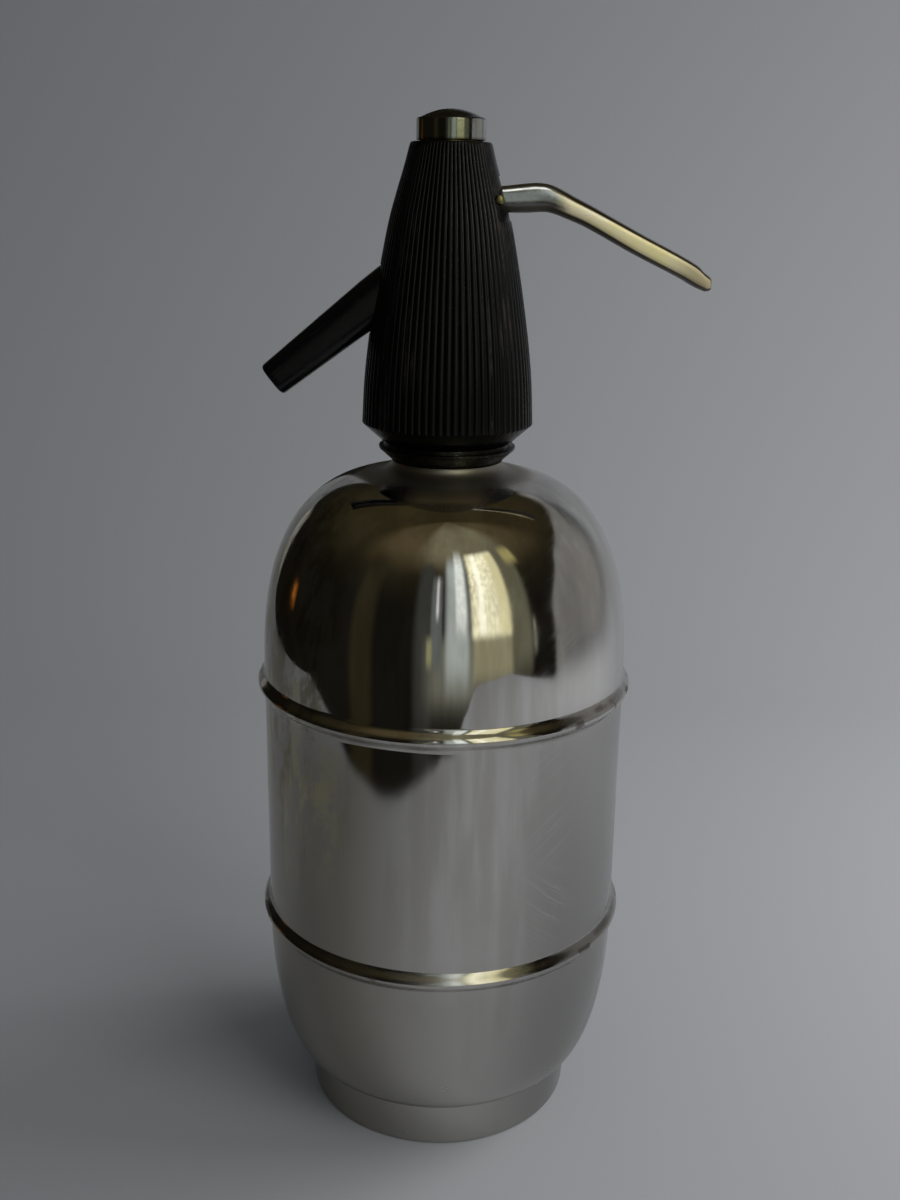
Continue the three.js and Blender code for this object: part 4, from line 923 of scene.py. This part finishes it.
class Nodes:
    """A tree of shader nodes in the making, its shader, and the coordinates that its patterns follow."""

    def __init__(self, tree, shader, output, coordinates):
        self.tree = tree
        self.tree.nodes.clear()
        self.shader = self.add(shader)
        self.surface = self.add(output).inputs["Surface"]
        self.feed(self.surface, self.shader.outputs[0])
        self.place = self.add("ShaderNodeTexCoord").outputs[coordinates]
        split = self.add("ShaderNodeSeparateXYZ")
        self.feed(split.inputs[0], self.place)
        self.x, self.y, self.z = split.outputs

    def add(self, kind, **settings):
        node = self.tree.nodes.new(kind)
        for name, value in settings.items():
            setattr(node, name, value)
        return node

    def feed(self, socket, value):
        if isinstance(value, bpy.types.NodeSocket):
            self.tree.links.new(value, socket)
        else:
            socket.default_value = value

    def set(self, name, value):
        self.feed(self.shader.inputs[name], value)

    def noise(self, size, detail=2, stretch=(1, 1, 1), turn=(0, 0, 0), rough=0.6, shift=0):
        """Noise whose patches are about size metres across, and longer where stretch is below 1."""
        mapping = self.add("ShaderNodeMapping", vector_type="TEXTURE")
        self.feed(mapping.inputs["Vector"], self.place)
        mapping.inputs["Scale"].default_value = tuple(1 / share for share in stretch)
        mapping.inputs["Rotation"].default_value = turn
        mapping.inputs["Location"].default_value = (shift, 2 * shift, 3 * shift)
        node = self.add("ShaderNodeTexNoise")
        self.feed(node.inputs["Vector"], mapping.outputs[0])
        node.inputs["Scale"].default_value = 1 / size
        node.inputs["Detail"].default_value = detail
        node.inputs["Roughness"].default_value = rough
        return node.outputs[0]

    def math(self, operation, first, second=0.0, third=0.0):
        node = self.add("ShaderNodeMath", operation=operation)
        for socket, value in zip(node.inputs, (first, second, third)):
            self.feed(socket, value)
        return node.outputs[0]

    def chain(self, operation, values):
        total = values[0]
        for value in values[1:]:
            total = self.math(operation, total, value)
        return total

    def plus(self, *values):
        return self.chain("ADD", values)

    def minus(self, *values):
        return self.chain("SUBTRACT", values)

    def times(self, *values):
        return self.chain("MULTIPLY", values)

    def most(self, *values):
        return self.chain("MAXIMUM", values)

    def summed(self, start, *parts):
        """The start and each (value, weight) on top of it."""
        for value, weight in parts:
            start = self.math("MULTIPLY_ADD", value, weight, start)
        return start

    def ramp(self, value, low, high, start=0.0, end=1.0):
        """The value's way from low to high, as a smooth way from start to end."""
        node = self.add("ShaderNodeMapRange", interpolation_type="SMOOTHSTEP")
        for name, number in (("Value", value), ("From Min", low), ("From Max", high),
                             ("To Min", start), ("To Max", end)):
            self.feed(node.inputs[name], number)
        return node.outputs[0]

    def band(self, value, middle, half_width):
        """1 at the middle and 0 from half a width away on."""
        return self.ramp(self.math("ABSOLUTE", self.minus(value, middle)), 0.0, half_width, 1.0, 0.0)

    def edge(self, value, middle, half_width, softness):
        """1 within half a width of the middle and 0 outside it, with a soft edge."""
        distance = self.math("ABSOLUTE", self.minus(value, middle))
        return self.ramp(distance, half_width - softness, half_width + softness, 1.0, 0.0)

    def mix(self, share, first, second):
        node = self.add("ShaderNodeMix", data_type="RGBA")
        self.feed(node.inputs["Factor"], share)
        colours = [socket for socket in node.inputs if socket.type == "RGBA"]
        for socket, value in zip(colours, (first, second)):
            self.feed(socket, (*value, 1) if isinstance(value, tuple) else value)
        return next(socket for socket in node.outputs if socket.type == "RGBA")

    def layered(self, colour, *layers):
        """A colour under layers of (share, colour), the last on top."""
        for share, layer in layers:
            colour = self.mix(share, colour, layer)
        return colour


class Finish(Nodes):
    """A material in the making, with the object's coordinates in metres."""

    def __init__(self, name, metallic=0):
        self.material = bpy.data.materials.new(name)
        self.material.use_nodes = True
        shader, output = "ShaderNodeBsdfPrincipled", "ShaderNodeOutputMaterial"
        super().__init__(self.material.node_tree, shader, output, "Object")
        self.set("Metallic", metallic)

    def patches(self, cloud, span, fresh, aged, rough):
        """Two colours in patches, and a roughness that follows them."""
        self.set("Base Color", self.mix(self.ramp(cloud, *span), fresh, aged))
        self.set("Roughness", self.ramp(cloud, *rough))

    def bump(self, *layers):
        """Relief from layers of (height, depth in metres), laid over one another."""
        normal = None
        for height, depth in layers:
            node = self.add("ShaderNodeBump")
            node.inputs["Distance"].default_value = depth
            self.feed(node.inputs["Height"], height)
            if normal is not None:
                self.feed(node.inputs["Normal"], normal)
            normal = node.outputs[0]
        self.set("Normal", normal)


def steel_hairlines(f, side, cloud):
    """Fine scratches on the right: rising on the upper body, falling above the lower bead."""
    rising = f.ramp(f.noise(0.0005, 1, (0.02, 0.02, 1), (0, -0.65, 0), shift=4), 0.5, 0.64)
    falling = f.ramp(f.noise(0.0005, 1, (0.02, 0.02, 1), (0, 0.75, 0), shift=6), 0.5, 0.64)
    lines = f.most(f.times(rising, f.ramp(f.z, 0.086, 0.1)), f.times(falling, f.band(f.z, 0.078, 0.018)))
    return f.times(f.ramp(f.x, 0.028, 0.037, side, 0.0), f.ramp(cloud, 0.4, 0.6, 0.25, 1.0), lines)


def steel_grime(f, smear):
    """Dirt in the hollows beside the beads, in smudges on their crests, and in the seam over the foot."""
    creases, crests = 0.0, 0.0
    for bead in (LOWER_BEAD, UPPER_BEAD):
        crest = f.band(f.z, bead, BEAD_CREST_HALF_WIDTH)
        crests = f.most(crests, crest)
        creases = f.most(creases, f.minus(f.band(f.z, bead, BEAD_GRIME_HALF_WIDTH), crest))
    grime = f.times(f.ramp(creases, 0.25, 0.8), f.ramp(smear, 0.42, 0.62))
    smudge = f.times(f.ramp(crests, 0.2, 0.6), f.ramp(f.noise(0.009, 2, rough=0.5, shift=9), 0.6, 0.66))
    return f.most(grime, smudge, f.ramp(f.band(f.z, FOOT_HEIGHT, SEAM_HALF_WIDTH), 0.1, 0.7))


def steel():
    """Polished stainless steel that has been used: smears, hairlines, milky patches and grime. Painted shade
    darkens the left and right sides, a painted warm sheen lies on the front below the neck, and the steel grows
    darker towards the bottom.
    """
    f = Finish("steel_polished", 1)
    cloud = f.noise(0.03, 4, shift=1)
    streak = f.noise(0.007, 3, (1, 1, 0.12), shift=5)
    smear = f.noise(0.012, 3, (1, 1, 0.4), (0, 0.5, 0), shift=2)
    stain = f.noise(0.006, 5, (1, 1, 0.5), (0, 0.3, 0), 0.7, 7)
    brushed = f.noise(0.0009, 2, (0.06, 0.06, 1), rough=0.7, shift=3)
    side = f.times(f.ramp(f.x, 0.0, 0.04), f.ramp(f.z, 0.12, 0.18, 0.9, 0.35))
    milky = f.times(f.ramp(f.summed(cloud, (streak, 0.35)), 0.42, 0.8),
                    f.most(f.ramp(f.z, 0.02, 0.13, 1.0, 0.12), side))
    scored = steel_hairlines(f, side, cloud)
    grime = steel_grime(f, smear)
    # Painted shade over the right side, strongest below the upper bead.
    tint_share = f.times(f.ramp(f.x, 0.006, 0.034, 0.0, 0.95), f.ramp(f.z, 0.122, 0.135, 1.0, 0.3))
    shade = f.most(f.times(f.ramp(f.x, -0.027, 0.007, 0.9, 0.0), f.ramp(f.z, 0.11, 0.145, 1.0, 0.0)),
                   f.ramp(f.x, -0.045, -0.033, 0.75, 0.0))
    stained = f.times(f.ramp(f.x, -0.032, -0.02, 1.0, 0.0), f.ramp(f.z, 0.07, 0.11),
                      f.ramp(stain, 0.45, 0.58, 0.0, 0.8))
    # On the front just below the neck the steel is blurred, and tinted warm and light as a painted brown sheen.
    fog_and_sheen = f.times(f.ramp(f.math("ABSOLUTE", f.x), 0.006, 0.016, 1.0, 0.0), f.ramp(f.z, 0.1818, 0.1838))
    neck = f.most(f.ramp(f.z, 0.1845, 0.1858), fog_and_sheen)
    f.set("Base Color", f.layered(
        f.mix(f.ramp(streak, 0.38, 0.64), (0.6, 0.575, 0.535), (0.78, 0.765, 0.73)),
        (milky, (0.7, 0.68, 0.655)),
        # Darker towards the bottom.
        (f.ramp(f.z, 0.05, 0.068, 0.6, 0.0), (0.47, 0.455, 0.43)),
        # painted shade on the right side
        (tint_share, (0.34, 0.33, 0.315)),
        (f.times(scored, 0.35), (0.72, 0.71, 0.69)),
        (shade, (0.36, 0.34, 0.29)),
        (stained, f.mix(f.ramp(streak, 0.42, 0.6), (0.28, 0.25, 0.16), (0.55, 0.51, 0.33))),
        (f.times(grime, 0.65), (0.1, 0.085, 0.065)),
        # Above the dome the neck is dull darker grey; the front patch below it carries the painted warm sheen.
        (neck, f.mix(f.ramp(f.z, 0.1835, 0.186), (0.85, 0.72, 0.5), (0.42, 0.4, 0.36))),
    ))
    f.set("Roughness", f.summed(
        0.03, (milky, 0.22), (f.ramp(smear, 0.45, 0.75), 0.04), (scored, 0.14), (stained, 0.1), (neck, 0.4),
        (grime, 0.25)))
    f.bump((f.noise(0.07, 1, rough=0.5), 0.0001), (f.times(brushed, milky), 0.0000025), (scored, 0.0000002))
    return f.material


def inner_steel():
    """Plain drawn steel with fine turning lines, for what lies inside and underneath."""
    f = Finish("steel_plain", 1)
    f.patches(f.noise(0.02, 4), (0.4, 0.7), (0.6, 0.585, 0.56), (0.45, 0.42, 0.38), (0.3, 0.7, 0.24, 0.42))
    f.bump((f.noise(0.0008, 2, (0.05, 0.05, 1)), 0.000006))
    return f.material


def collar_plate():
    """Chrome coloured dark and dull all over, mottled darker in patches."""
    f = Finish("chrome_grimy", 1)
    cloud = f.noise(0.004, 4, rough=0.65)
    fine = f.noise(0.0007, 3, shift=1)
    film = f.ramp(f.summed(cloud, (fine, 0.3)), 0.45, 0.8)
    f.set("Base Color", f.mix(film, (0.06, 0.058, 0.053), (0.02, 0.018, 0.016)))
    f.set("Roughness", f.summed(0.18, (film, 0.3)))
    f.bump((cloud, 0.00004), (fine, 0.00001))
    return f.material


def cap_plate():
    """Chrome with painted shade over all but its right side, and a domed top painted dark and a little violet
    as a dark reflection.
    """
    f = Finish("chrome_cap", 1)
    cloud = f.noise(0.005, 4, rough=0.65)
    hair = f.noise(0.0005, 2, (0.06, 0.06, 1), shift=2)
    # The domed top is painted dark and a little violet, as a dark reflection, and made rougher.
    top = f.ramp(f.z, CAP_SIDE_TOP - FINE_EDGE, CAP_SIDE_TOP + EDGE)
    f.set("Base Color", f.layered(
        f.mix(f.ramp(cloud, 0.4, 0.7), (0.54, 0.55, 0.53), (0.42, 0.42, 0.4)),
        # Painted shade, a little green, over all but the right side.
        (f.ramp(f.x, 0.0028, 0.0055, 0.75, 0.0), (0.28, 0.31, 0.22)),
        (f.ramp(f.z, CAP_SKIRT_BOTTOM, CAP_SKIRT_BOTTOM + CAP_GRIME_HEIGHT, 0.8, 0.0), (0.1, 0.095, 0.08)),
        (top, f.mix(f.ramp(cloud, 0.45, 0.7), (0.09, 0.085, 0.1), (0.2, 0.19, 0.2))),
    ))
    f.set("Roughness", f.summed(f.ramp(cloud, 0.35, 0.7, 0.08, 0.18), (top, 0.12)))
    f.bump((cloud, 0.00002), (hair, 0.000001))
    return f.material


def lever_plate():
    """Dull chrome at the root. The arm's flat sides are worn down to pale brass, between darker tarnished
    edges, and its underside is darkened as painted shade.
    """
    f = Finish("lever_plate")
    normal = f.add("ShaderNodeSeparateXYZ")
    f.feed(normal.inputs[0], f.add("ShaderNodeNewGeometry").outputs["Normal"])
    cloud = f.noise(0.007, 4, (0.6, 1, 1), rough=0.62)
    fine = f.noise(0.0016, 3, shift=1)
    hair = f.noise(0.0005, 2, (0.07, 1, 1), (0, 0.35, 0), shift=2)
    pits = f.ramp(f.noise(0.0011, 2, shift=5), 0.7, 0.78)
    arm = f.ramp(f.summed(f.x, (cloud, 0.006)), 0.0285, 0.0335)
    bare = f.times(f.ramp(f.math("ABSOLUTE", normal.outputs[1]), 0.7, 0.93), arm)
    # Painted shade: faces that look down are darkened and made rougher.
    under = f.ramp(normal.outputs[2], -0.55, -0.05, 1.0, 0.0)
    pale = f.layered(
        f.mix(f.ramp(f.summed(cloud, (fine, 0.4)), 0.5, 0.85), (0.96, 0.87, 0.6), (0.9, 0.81, 0.4)),
        (f.times(pits, 0.6), (0.25, 0.19, 0.1)),
        # Darker towards the tip.
        (f.ramp(f.x, 0.053, 0.064), (0.5, 0.43, 0.25)),
    )
    f.set("Base Color", f.layered(
        (0.48, 0.49, 0.48), (arm, (0.33, 0.3, 0.25)), (under, (0.13, 0.115, 0.095)), (bare, pale)))
    f.set("Metallic", f.ramp(bare, 0.0, 1.0, 1.0, 0.2))
    f.set("Roughness", f.summed(f.ramp(cloud, 0.3, 0.7, 0.17, 0.28), (bare, 0.1), (under, 0.25)))
    f.bump((cloud, 0.00008), (fine, 0.000008), (hair, 0.000003))
    return f.material


def brass():
    """Turned brass, browned where no hand reaches."""
    f = Finish("brass_turned", 1)
    cloud = f.noise(0.004, 4)
    f.patches(cloud, (0.35, 0.7), (0.7, 0.53, 0.24), (0.42, 0.27, 0.11), (0.3, 0.75, 0.2, 0.42))
    f.bump((f.noise(0.0004, 2, (0.05, 0.05, 1)), 0.000005), (cloud, 0.00003))
    return f.material


def pin_brass():
    """Brass that has gone dull and greenish in the open air."""
    f = Finish("brass_dull", 1)
    cloud = f.noise(0.0012, 4)
    f.patches(cloud, (0.4, 0.65), (0.34, 0.31, 0.14), (0.16, 0.13, 0.06), (0.3, 0.7, 0.3, 0.5))
    f.bump((cloud, 0.00003))
    return f.material


def bakelite():
    """Black moulded resin, glossy in the grooves and worn brown on the crests of the ribs. The brown grows
    stronger towards the left and right sides as a painted sheen.
    """
    f = Finish("bakelite_black")
    f.set("Specular IOR Level", 0.17)
    crest = f.add("ShaderNodeAttribute", attribute_name="crest").outputs["Fac"]
    cloud = f.noise(0.012, 4)
    fine = f.noise(0.0009, 3, shift=1)
    streak = f.noise(0.0035, 3, (1, 1, 0.12), shift=2)
    patch = f.ramp(f.summed(streak, (cloud, 0.5), (fine, 0.15)), 0.82, 1.15)
    # The brown on the crests is wear, made stronger towards the left and right sides as a painted sheen.
    sides = f.ramp(f.math("ABSOLUTE", f.x), 0.005, 0.011, 0.15, 1.0)
    tint_share = f.times(f.ramp(crest, 0.8, 0.99), patch, sides)
    f.set("Base Color", f.mix(tint_share, (0.0015, 0.0017, 0.0018), (0.03, 0.023, 0.016)))
    f.set("Roughness", f.summed(f.ramp(cloud, 0.3, 0.7, 0.2, 0.3), (tint_share, 0.15)))
    f.bump((fine, 0.00001), (cloud, 0.00006))
    return f.material


def smooth_bakelite():
    """The same resin where it was moulded smooth: polished, with fine handling scratches."""
    f = Finish("bakelite_smooth")
    f.set("Specular IOR Level", 0.35)
    cloud = f.noise(0.01, 4)
    hair = f.ramp(f.noise(0.0007, 1, (0.08, 1, 1), (0, -0.67, 0), 0.5, 2), 0.62, 0.7)
    f.set("Base Color", f.mix(f.ramp(cloud, 0.5, 0.75), (0.002, 0.0022, 0.0027), (0.005, 0.0046, 0.0045)))
    f.set("Roughness", f.summed(f.ramp(cloud, 0.3, 0.7, 0.2, 0.32), (hair, 0.15)))
    f.bump((f.noise(0.0008, 3, shift=1), 0.00001), (cloud, 0.00005))
    return f.material


def rubber():
    """Old black rubber: dull, dusty grey in patches."""
    f = Finish("rubber_old")
    cloud = f.noise(0.004, 5, rough=0.65)
    f.patches(cloud, (0.4, 0.7), (0.02, 0.019, 0.018), (0.06, 0.057, 0.052), (0.3, 0.7, 0.65, 0.9))
    f.bump((f.noise(0.0004, 3, rough=0.7, shift=1), 0.00003))
    return f.material


def fibre():
    """Pressed red-brown fibre with short strands."""
    f = Finish("fibre_pressed")
    strands = f.noise(0.0012, 4, (1, 0.3, 1), (0, 0, 0.6), 0.7)
    f.patches(strands, (0.35, 0.7), (0.035, 0.022, 0.016), (0.016, 0.011, 0.008), (0.3, 0.7, 0.7, 0.92))
    f.bump((strands, 0.00004))
    return f.material


def spring_steel():
    """Hard drawn wire with a thin oily film."""
    f = Finish("spring_wire", 1)
    cloud = f.noise(0.003, 4)
    f.patches(cloud, (0.4, 0.7), (0.46, 0.45, 0.44), (0.24, 0.19, 0.14), (0.3, 0.7, 0.22, 0.4))
    f.bump((cloud, 0.00002))
    return f.material


def dress_node(name, material):
    """Gives a CAD node that stays as it is its finish."""
    for material_slot in NODES[name].material_slots:
        material_slot.link = "OBJECT"
        material_slot.material = material


# Stage, light and camera

def floor_material():
    """Plain pale cloth. Mirrored light passes it where the photographed cloth has ended."""
    f = Finish("stage_cloth")
    f.set("Base Color", (*FLOOR_COLOUR, 1))
    f.set("Roughness", FLOOR_ROUGHNESS)
    f.set("Specular IOR Level", 0.0)
    front = f.plus(
        f.most(f.times(f.x, -0.6), 0.0),
        f.summed(CLOTH_FRONT, (f.noise(0.12, 1, rough=0.5), 0.03)),
        f.ramp(f.x, 0.02, 0.25, 0.0, -0.29),
        f.ramp(f.x, 0.5, 0.54, 0.0, 0.42),
        f.ramp(f.x, CLOTH_LEFT - 0.03, CLOTH_LEFT + 0.03, 9.0, 0.0),
    )
    over = f.minus(f.z, f.summed(CLOTH_TOP, (f.x, CLOTH_TOP_SLOPE)))
    gap = f.times(f.band(f.x, -0.09, 0.12), f.ramp(f.z, 0.08, 0.14))
    past = f.most(
        f.ramp(f.minus(f.y, front), -0.01, 0.01, 1.0, 0.0),
        f.ramp(over, -0.015, 0.015),
        f.ramp(f.x, 0.7, 1.3),
        f.ramp(gap, 0.2, 0.5),
    )
    mirrored = f.add("ShaderNodeLightPath").outputs["Is Glossy Ray"]
    both = f.add("ShaderNodeMixShader")
    f.feed(both.inputs[0], f.times(mirrored, past))
    f.feed(both.inputs[1], f.shader.outputs[0])
    f.feed(both.inputs[2], f.add("ShaderNodeBsdfTransparent").outputs[0])
    f.feed(f.surface, both.outputs[0])
    return f.material


def stage():
    """A wide floor that curves up behind the object into a backdrop."""
    size = FLOOR_HALF_SIZE
    outline = [(-size, 0), (FLOOR_BREAK, 0), (BACKDROP_PLACE - BACKDROP_CURVE - BACKDROP_LEAD, 0)]
    for step in range(BACKDROP_STEPS + 1):
        angle = step / BACKDROP_STEPS * math.pi / 2
        outline.append((BACKDROP_PLACE - BACKDROP_CURVE * (1 - math.sin(angle)),
                        BACKDROP_CURVE * (1 - math.cos(angle))))
    outline.append((BACKDROP_PLACE, BACKDROP_HEIGHT))
    points = [(side, y, z) for side in (-size, size) for y, z in outline]
    count = len(outline)
    faces = [(count + step, count + step + 1, step + 1, step) for step in range(count - 1)]
    mesh = bpy.data.meshes.new("stage_floor")
    mesh.from_pydata(points, [], faces)
    floor = bpy.data.objects.new("stage_floor", mesh)
    bpy.context.scene.collection.objects.link(floor)
    for face in mesh.polygons:
        face.use_smooth = True
    mesh.materials.append(floor_material())


# The dim room that metal and gloss see in front. Each patch has its azimuth from the camera's side, half
# width and softness, its elevation, half height and softness, all in degrees, and its colour.
ROOM_PATCHES = [
    ((10, 80, 12), (68, 22, 14), (0.085, 0.065, 0.033)),
    ((18, 38, 12), (66, 18, 12), (0.19, 0.175, 0.11)),
    ((-52, 7, 3), (0, 40, 12), (0.028, 0.023, 0.012)),
    ((-13, 5, 3), (10, 34, 5), (0.045, 0.046, 0.042)),
    ((17, 27, 6), (-8, 11, 5), (0.16, 0.16, 0.13)),
    ((-5, 3.5, 1), (14, 22, 4), (0.13, 0.14, 0.14)),
    ((-9, 1.6, 0.8), (-2, 5, 3), (0.3, 0.3, 0.16)),
    ((8, 7, 2), (18, 30, 8), (0.42, 0.47, 0.45)),
    ((30, 12.5, 2), (-2, 10, 4), (0.33, 0.315, 0.2)),
    ((10.5, 3.2, 1.2), (30, 22, 8), (0.98, 1.04, 1.0)),
    ((30, 12.5, 2), (28, 24.5, 2.5), (1.35, 1.3, 0.92)),
    ((39, 4, 2), (27.5, 23.5, 2.5), (0.95, 0.9, 0.52)),
    ((24, 2, 1), (28.5, 23.5, 2.5), (1.5, 1.5, 1.25)),
    ((49, 6.5, 2), (24, 34, 8), (0.15, 0.145, 0.1)),
    ((55, 5, 2), (46, 6, 4), (0.42, 0.38, 0.16)),
    ((-4.5, 0.8, 0.6), (24, 11, 4), (0.75, 0.76, 0.74)),
    ((57.5, 0.8, 0.6), (1, 6, 3), (0.3, 0.3, 0.24)),
    ((-112, 2, 1), (-1, 3, 2), (0.45, 0.15, 0.025)),
]
# Patches brighter than this are the window's, whose light comes through leaves.
WINDOW_LEVEL = 0.9
ROOM_DARK = (0.009, 0.008, 0.006)
ROOM_BROWN = (0.035, 0.028, 0.013)
CLOTH_MIDDLE = (0.55, 0.835)
CLOTH_LIMITS = (0.27, 0.6)
CLOTH_HIGH_LIMIT = 0.36
CLOTH_TOP_ANGLES = (13, 38)
CLOTH_COLOUR = (0.25, 0.247, 0.237)


def room_seen(sky, azimuth, elevation):
    """The room's colour in a direction: dark, browner overhead, with its patches laid over that."""
    room = sky.mix(sky.ramp(elevation, 12, 60), ROOM_DARK, ROOM_BROWN)
    leaves = sky.ramp(sky.noise(0.03, 4, (1, 1, 0.3), rough=0.5), 0.35, 0.65, 0.65, 1.0)
    for sideways, upwards, colour in ROOM_PATCHES:
        share = sky.times(sky.edge(azimuth, *sideways), sky.edge(elevation, *upwards))
        if max(colour) > WINDOW_LEVEL:
            share = sky.times(share, leaves)
        room = sky.mix(share, room, colour)
    return room


def cloth_share(sky, azimuth, elevation):
    """1 in the directions where the cloth hangs, which reach less far round as they rise, and 0 elsewhere."""
    level_reach = sky.math("SQRT", sky.minus(1.0001, sky.times(sky.z, sky.z)))
    toward = sky.summed(sky.times(sky.x, CLOTH_MIDDLE[0]), (sky.y, CLOTH_MIDDLE[1]))
    limit = sky.ramp(elevation, 6, 36, *CLOTH_LIMITS)
    limit = sky.plus(limit, sky.ramp(elevation, 28, 42, 0, CLOTH_HIGH_LIMIT))
    behind = sky.ramp(sky.minus(sky.math("DIVIDE", toward, level_reach), limit), -0.02, 0.02)
    top = sky.ramp(sky.math("DIVIDE", sky.x, level_reach), -0.1, 0.4, *CLOTH_TOP_ANGLES)
    under_top = sky.ramp(sky.minus(elevation, top), -2, 2, 1.0, 0.0)
    return sky.times(sky.minus(behind, sky.edge(azimuth, -174, 7, 2)), under_top)


def cloth_seen(sky):
    """The cloth's colour, lighter and darker in folds."""
    cloth = sky.add("ShaderNodeVectorMath", operation="SCALE")
    cloth.inputs[0].default_value = CLOTH_COLOUR
    folds = sky.ramp(sky.noise(0.3, 3, (1, 1, 0.15), rough=0.5, shift=1), 0.35, 0.7, 0.85, 1.1)
    sky.feed(cloth.inputs["Scale"], folds)
    return cloth.outputs[0]


def world():
    """Even light for dull surfaces. Metal and gloss see a pale cloth behind and a dim room in front."""
    studio = bpy.data.worlds.new("studio")
    studio.use_nodes = True
    bpy.context.scene.world = studio
    sky = Nodes(studio.node_tree, "ShaderNodeBackground", "ShaderNodeOutputWorld", "Generated")
    azimuth = sky.math("DEGREES", sky.math("ARCTAN2", sky.x, sky.times(sky.y, -1.0)))
    elevation = sky.math("DEGREES", sky.math("ARCSINE", sky.z))
    seen = sky.mix(cloth_share(sky, azimuth, elevation), room_seen(sky, azimuth, elevation), cloth_seen(sky))
    path = sky.add("ShaderNodeLightPath")
    straight = sky.most(path.outputs["Is Camera Ray"], path.outputs["Is Transmission Ray"])
    level = (WORLD_LEVEL, WORLD_LEVEL, WORLD_LEVEL)
    sky.set("Color", sky.mix(straight, sky.mix(path.outputs["Is Glossy Ray"], level, seen), FLOOR_COLOUR))


# Each lamp's name, place, target, size, power in watts, and the only pieces that it lights, if not all.
# Three soft lamps stand on the right, where metal sees the room's window. Two give highlights.
LAMPS = [
    ("key", (0.46, 0.02, 0.34), (0.1, 0, 0), (0.3, 0.3), 1.35, ()),
    ("fill", (0.6, -0.6, 0.7), (0, 0.2, 0.1), (0.6, 0.6), 3.9, ()),
    ("back", (0.7, 0.3, 0.6), (0.22, 0.4, 0), (0.4, 0.4), 2.4, ()),
    ("gloss", (0.8, -0.25, 0.6), (0, 0, 0.25), (0.1, 0.3), 1.1, ("cover_fine", "nozzle_fine")),
    ("glint", (0.08, -0.4, 1.2), (0.03, 0, 0.25), (0.35, 0.35), 0.8, ("lever_fine",)),
]


def lights():
    """Soft lamps. Metal mirrors none of them but those that light only some pieces."""
    for name, place, target, size, power, only in LAMPS:
        data = bpy.data.lights.new(name, "AREA")
        data.shape = "RECTANGLE"
        data.size, data.size_y = size
        data.energy = power
        light = bpy.data.objects.new(name, data)
        light.location = place
        light.rotation_euler = (Vector(target) - Vector(place)).to_track_quat("-Z", "Y").to_euler()
        light.visible_glossy = bool(only)
        bpy.context.scene.collection.objects.link(light)
        if only:
            pieces = bpy.data.collections.new(name + "_pieces")
            for piece in only:
                pieces.objects.link(bpy.data.objects[piece])
            light.light_linking.receiver_collection = pieces


def camera():
    """Stands where the photograph's camera stood, with its lens."""
    data = bpy.data.cameras.new("photo_camera")
    data.lens = CAMERA_LENS
    data.sensor_width = CAMERA_SENSOR
    data.clip_start = CAMERA_NEAR
    shot = bpy.data.objects.new("photo_camera", data)
    turn = Matrix.Rotation(-CAMERA_YAW, 4, "Z") @ Matrix.Rotation(math.pi / 2 - CAMERA_PITCH, 4, "X")
    shot.matrix_world = Matrix.Translation(CAMERA_PLACE) @ turn @ Matrix.Rotation(CAMERA_ROLL, 4, "Z")
    bpy.context.scene.collection.objects.link(shot)
    bpy.context.scene.camera = shot


def siphon():
    polished, plain, turned_brass = steel(), inner_steel(), brass()
    black_ribbed, black_smooth, old_rubber = bakelite(), smooth_bakelite(), rubber()
    body_shell(polished)
    foot_ring(polished)
    bottom_dish(plain)
    neck_collar(collar_plate())
    dip_tube(plain)
    flat_ring("flange_fine", "tube_flange", TUBE_RADIUS + CLEARANCE, "tube_set", "brass", FINE_EDGE,
              turned_brass)
    flat_ring("rim_ring_fine", "rim_gasket", RIM_RING_BORE_RADIUS, "tube_set", "rubber", SOFT_EDGE,
              old_rubber)
    flat_ring("head_ring_fine", "head_gasket", TUBE_RADIUS + 2 * CLEARANCE, "gasket", "rubber", SOFT_EDGE,
              old_rubber)
    cap_washer(fibre())
    valve_body(turned_brass)
    head_cover(black_ribbed)
    nozzle(black_smooth)
    spout_tube(turned_brass)
    top_cap(cap_plate())
    lever_pin(pin_brass())
    lever(lever_plate())
    for name in ("gland_nut", "valve_stem", "stem_yoke"):
        dress_node(name, turned_brass)
    for name in ("stem_packing", "spout_ring", "valve_disc"):
        dress_node(name, old_rubber)
    return_spring(spring_steel())


bpy.context.scene.view_settings.view_transform = "Standard"
siphon()
stage()
world()
lights()
camera()
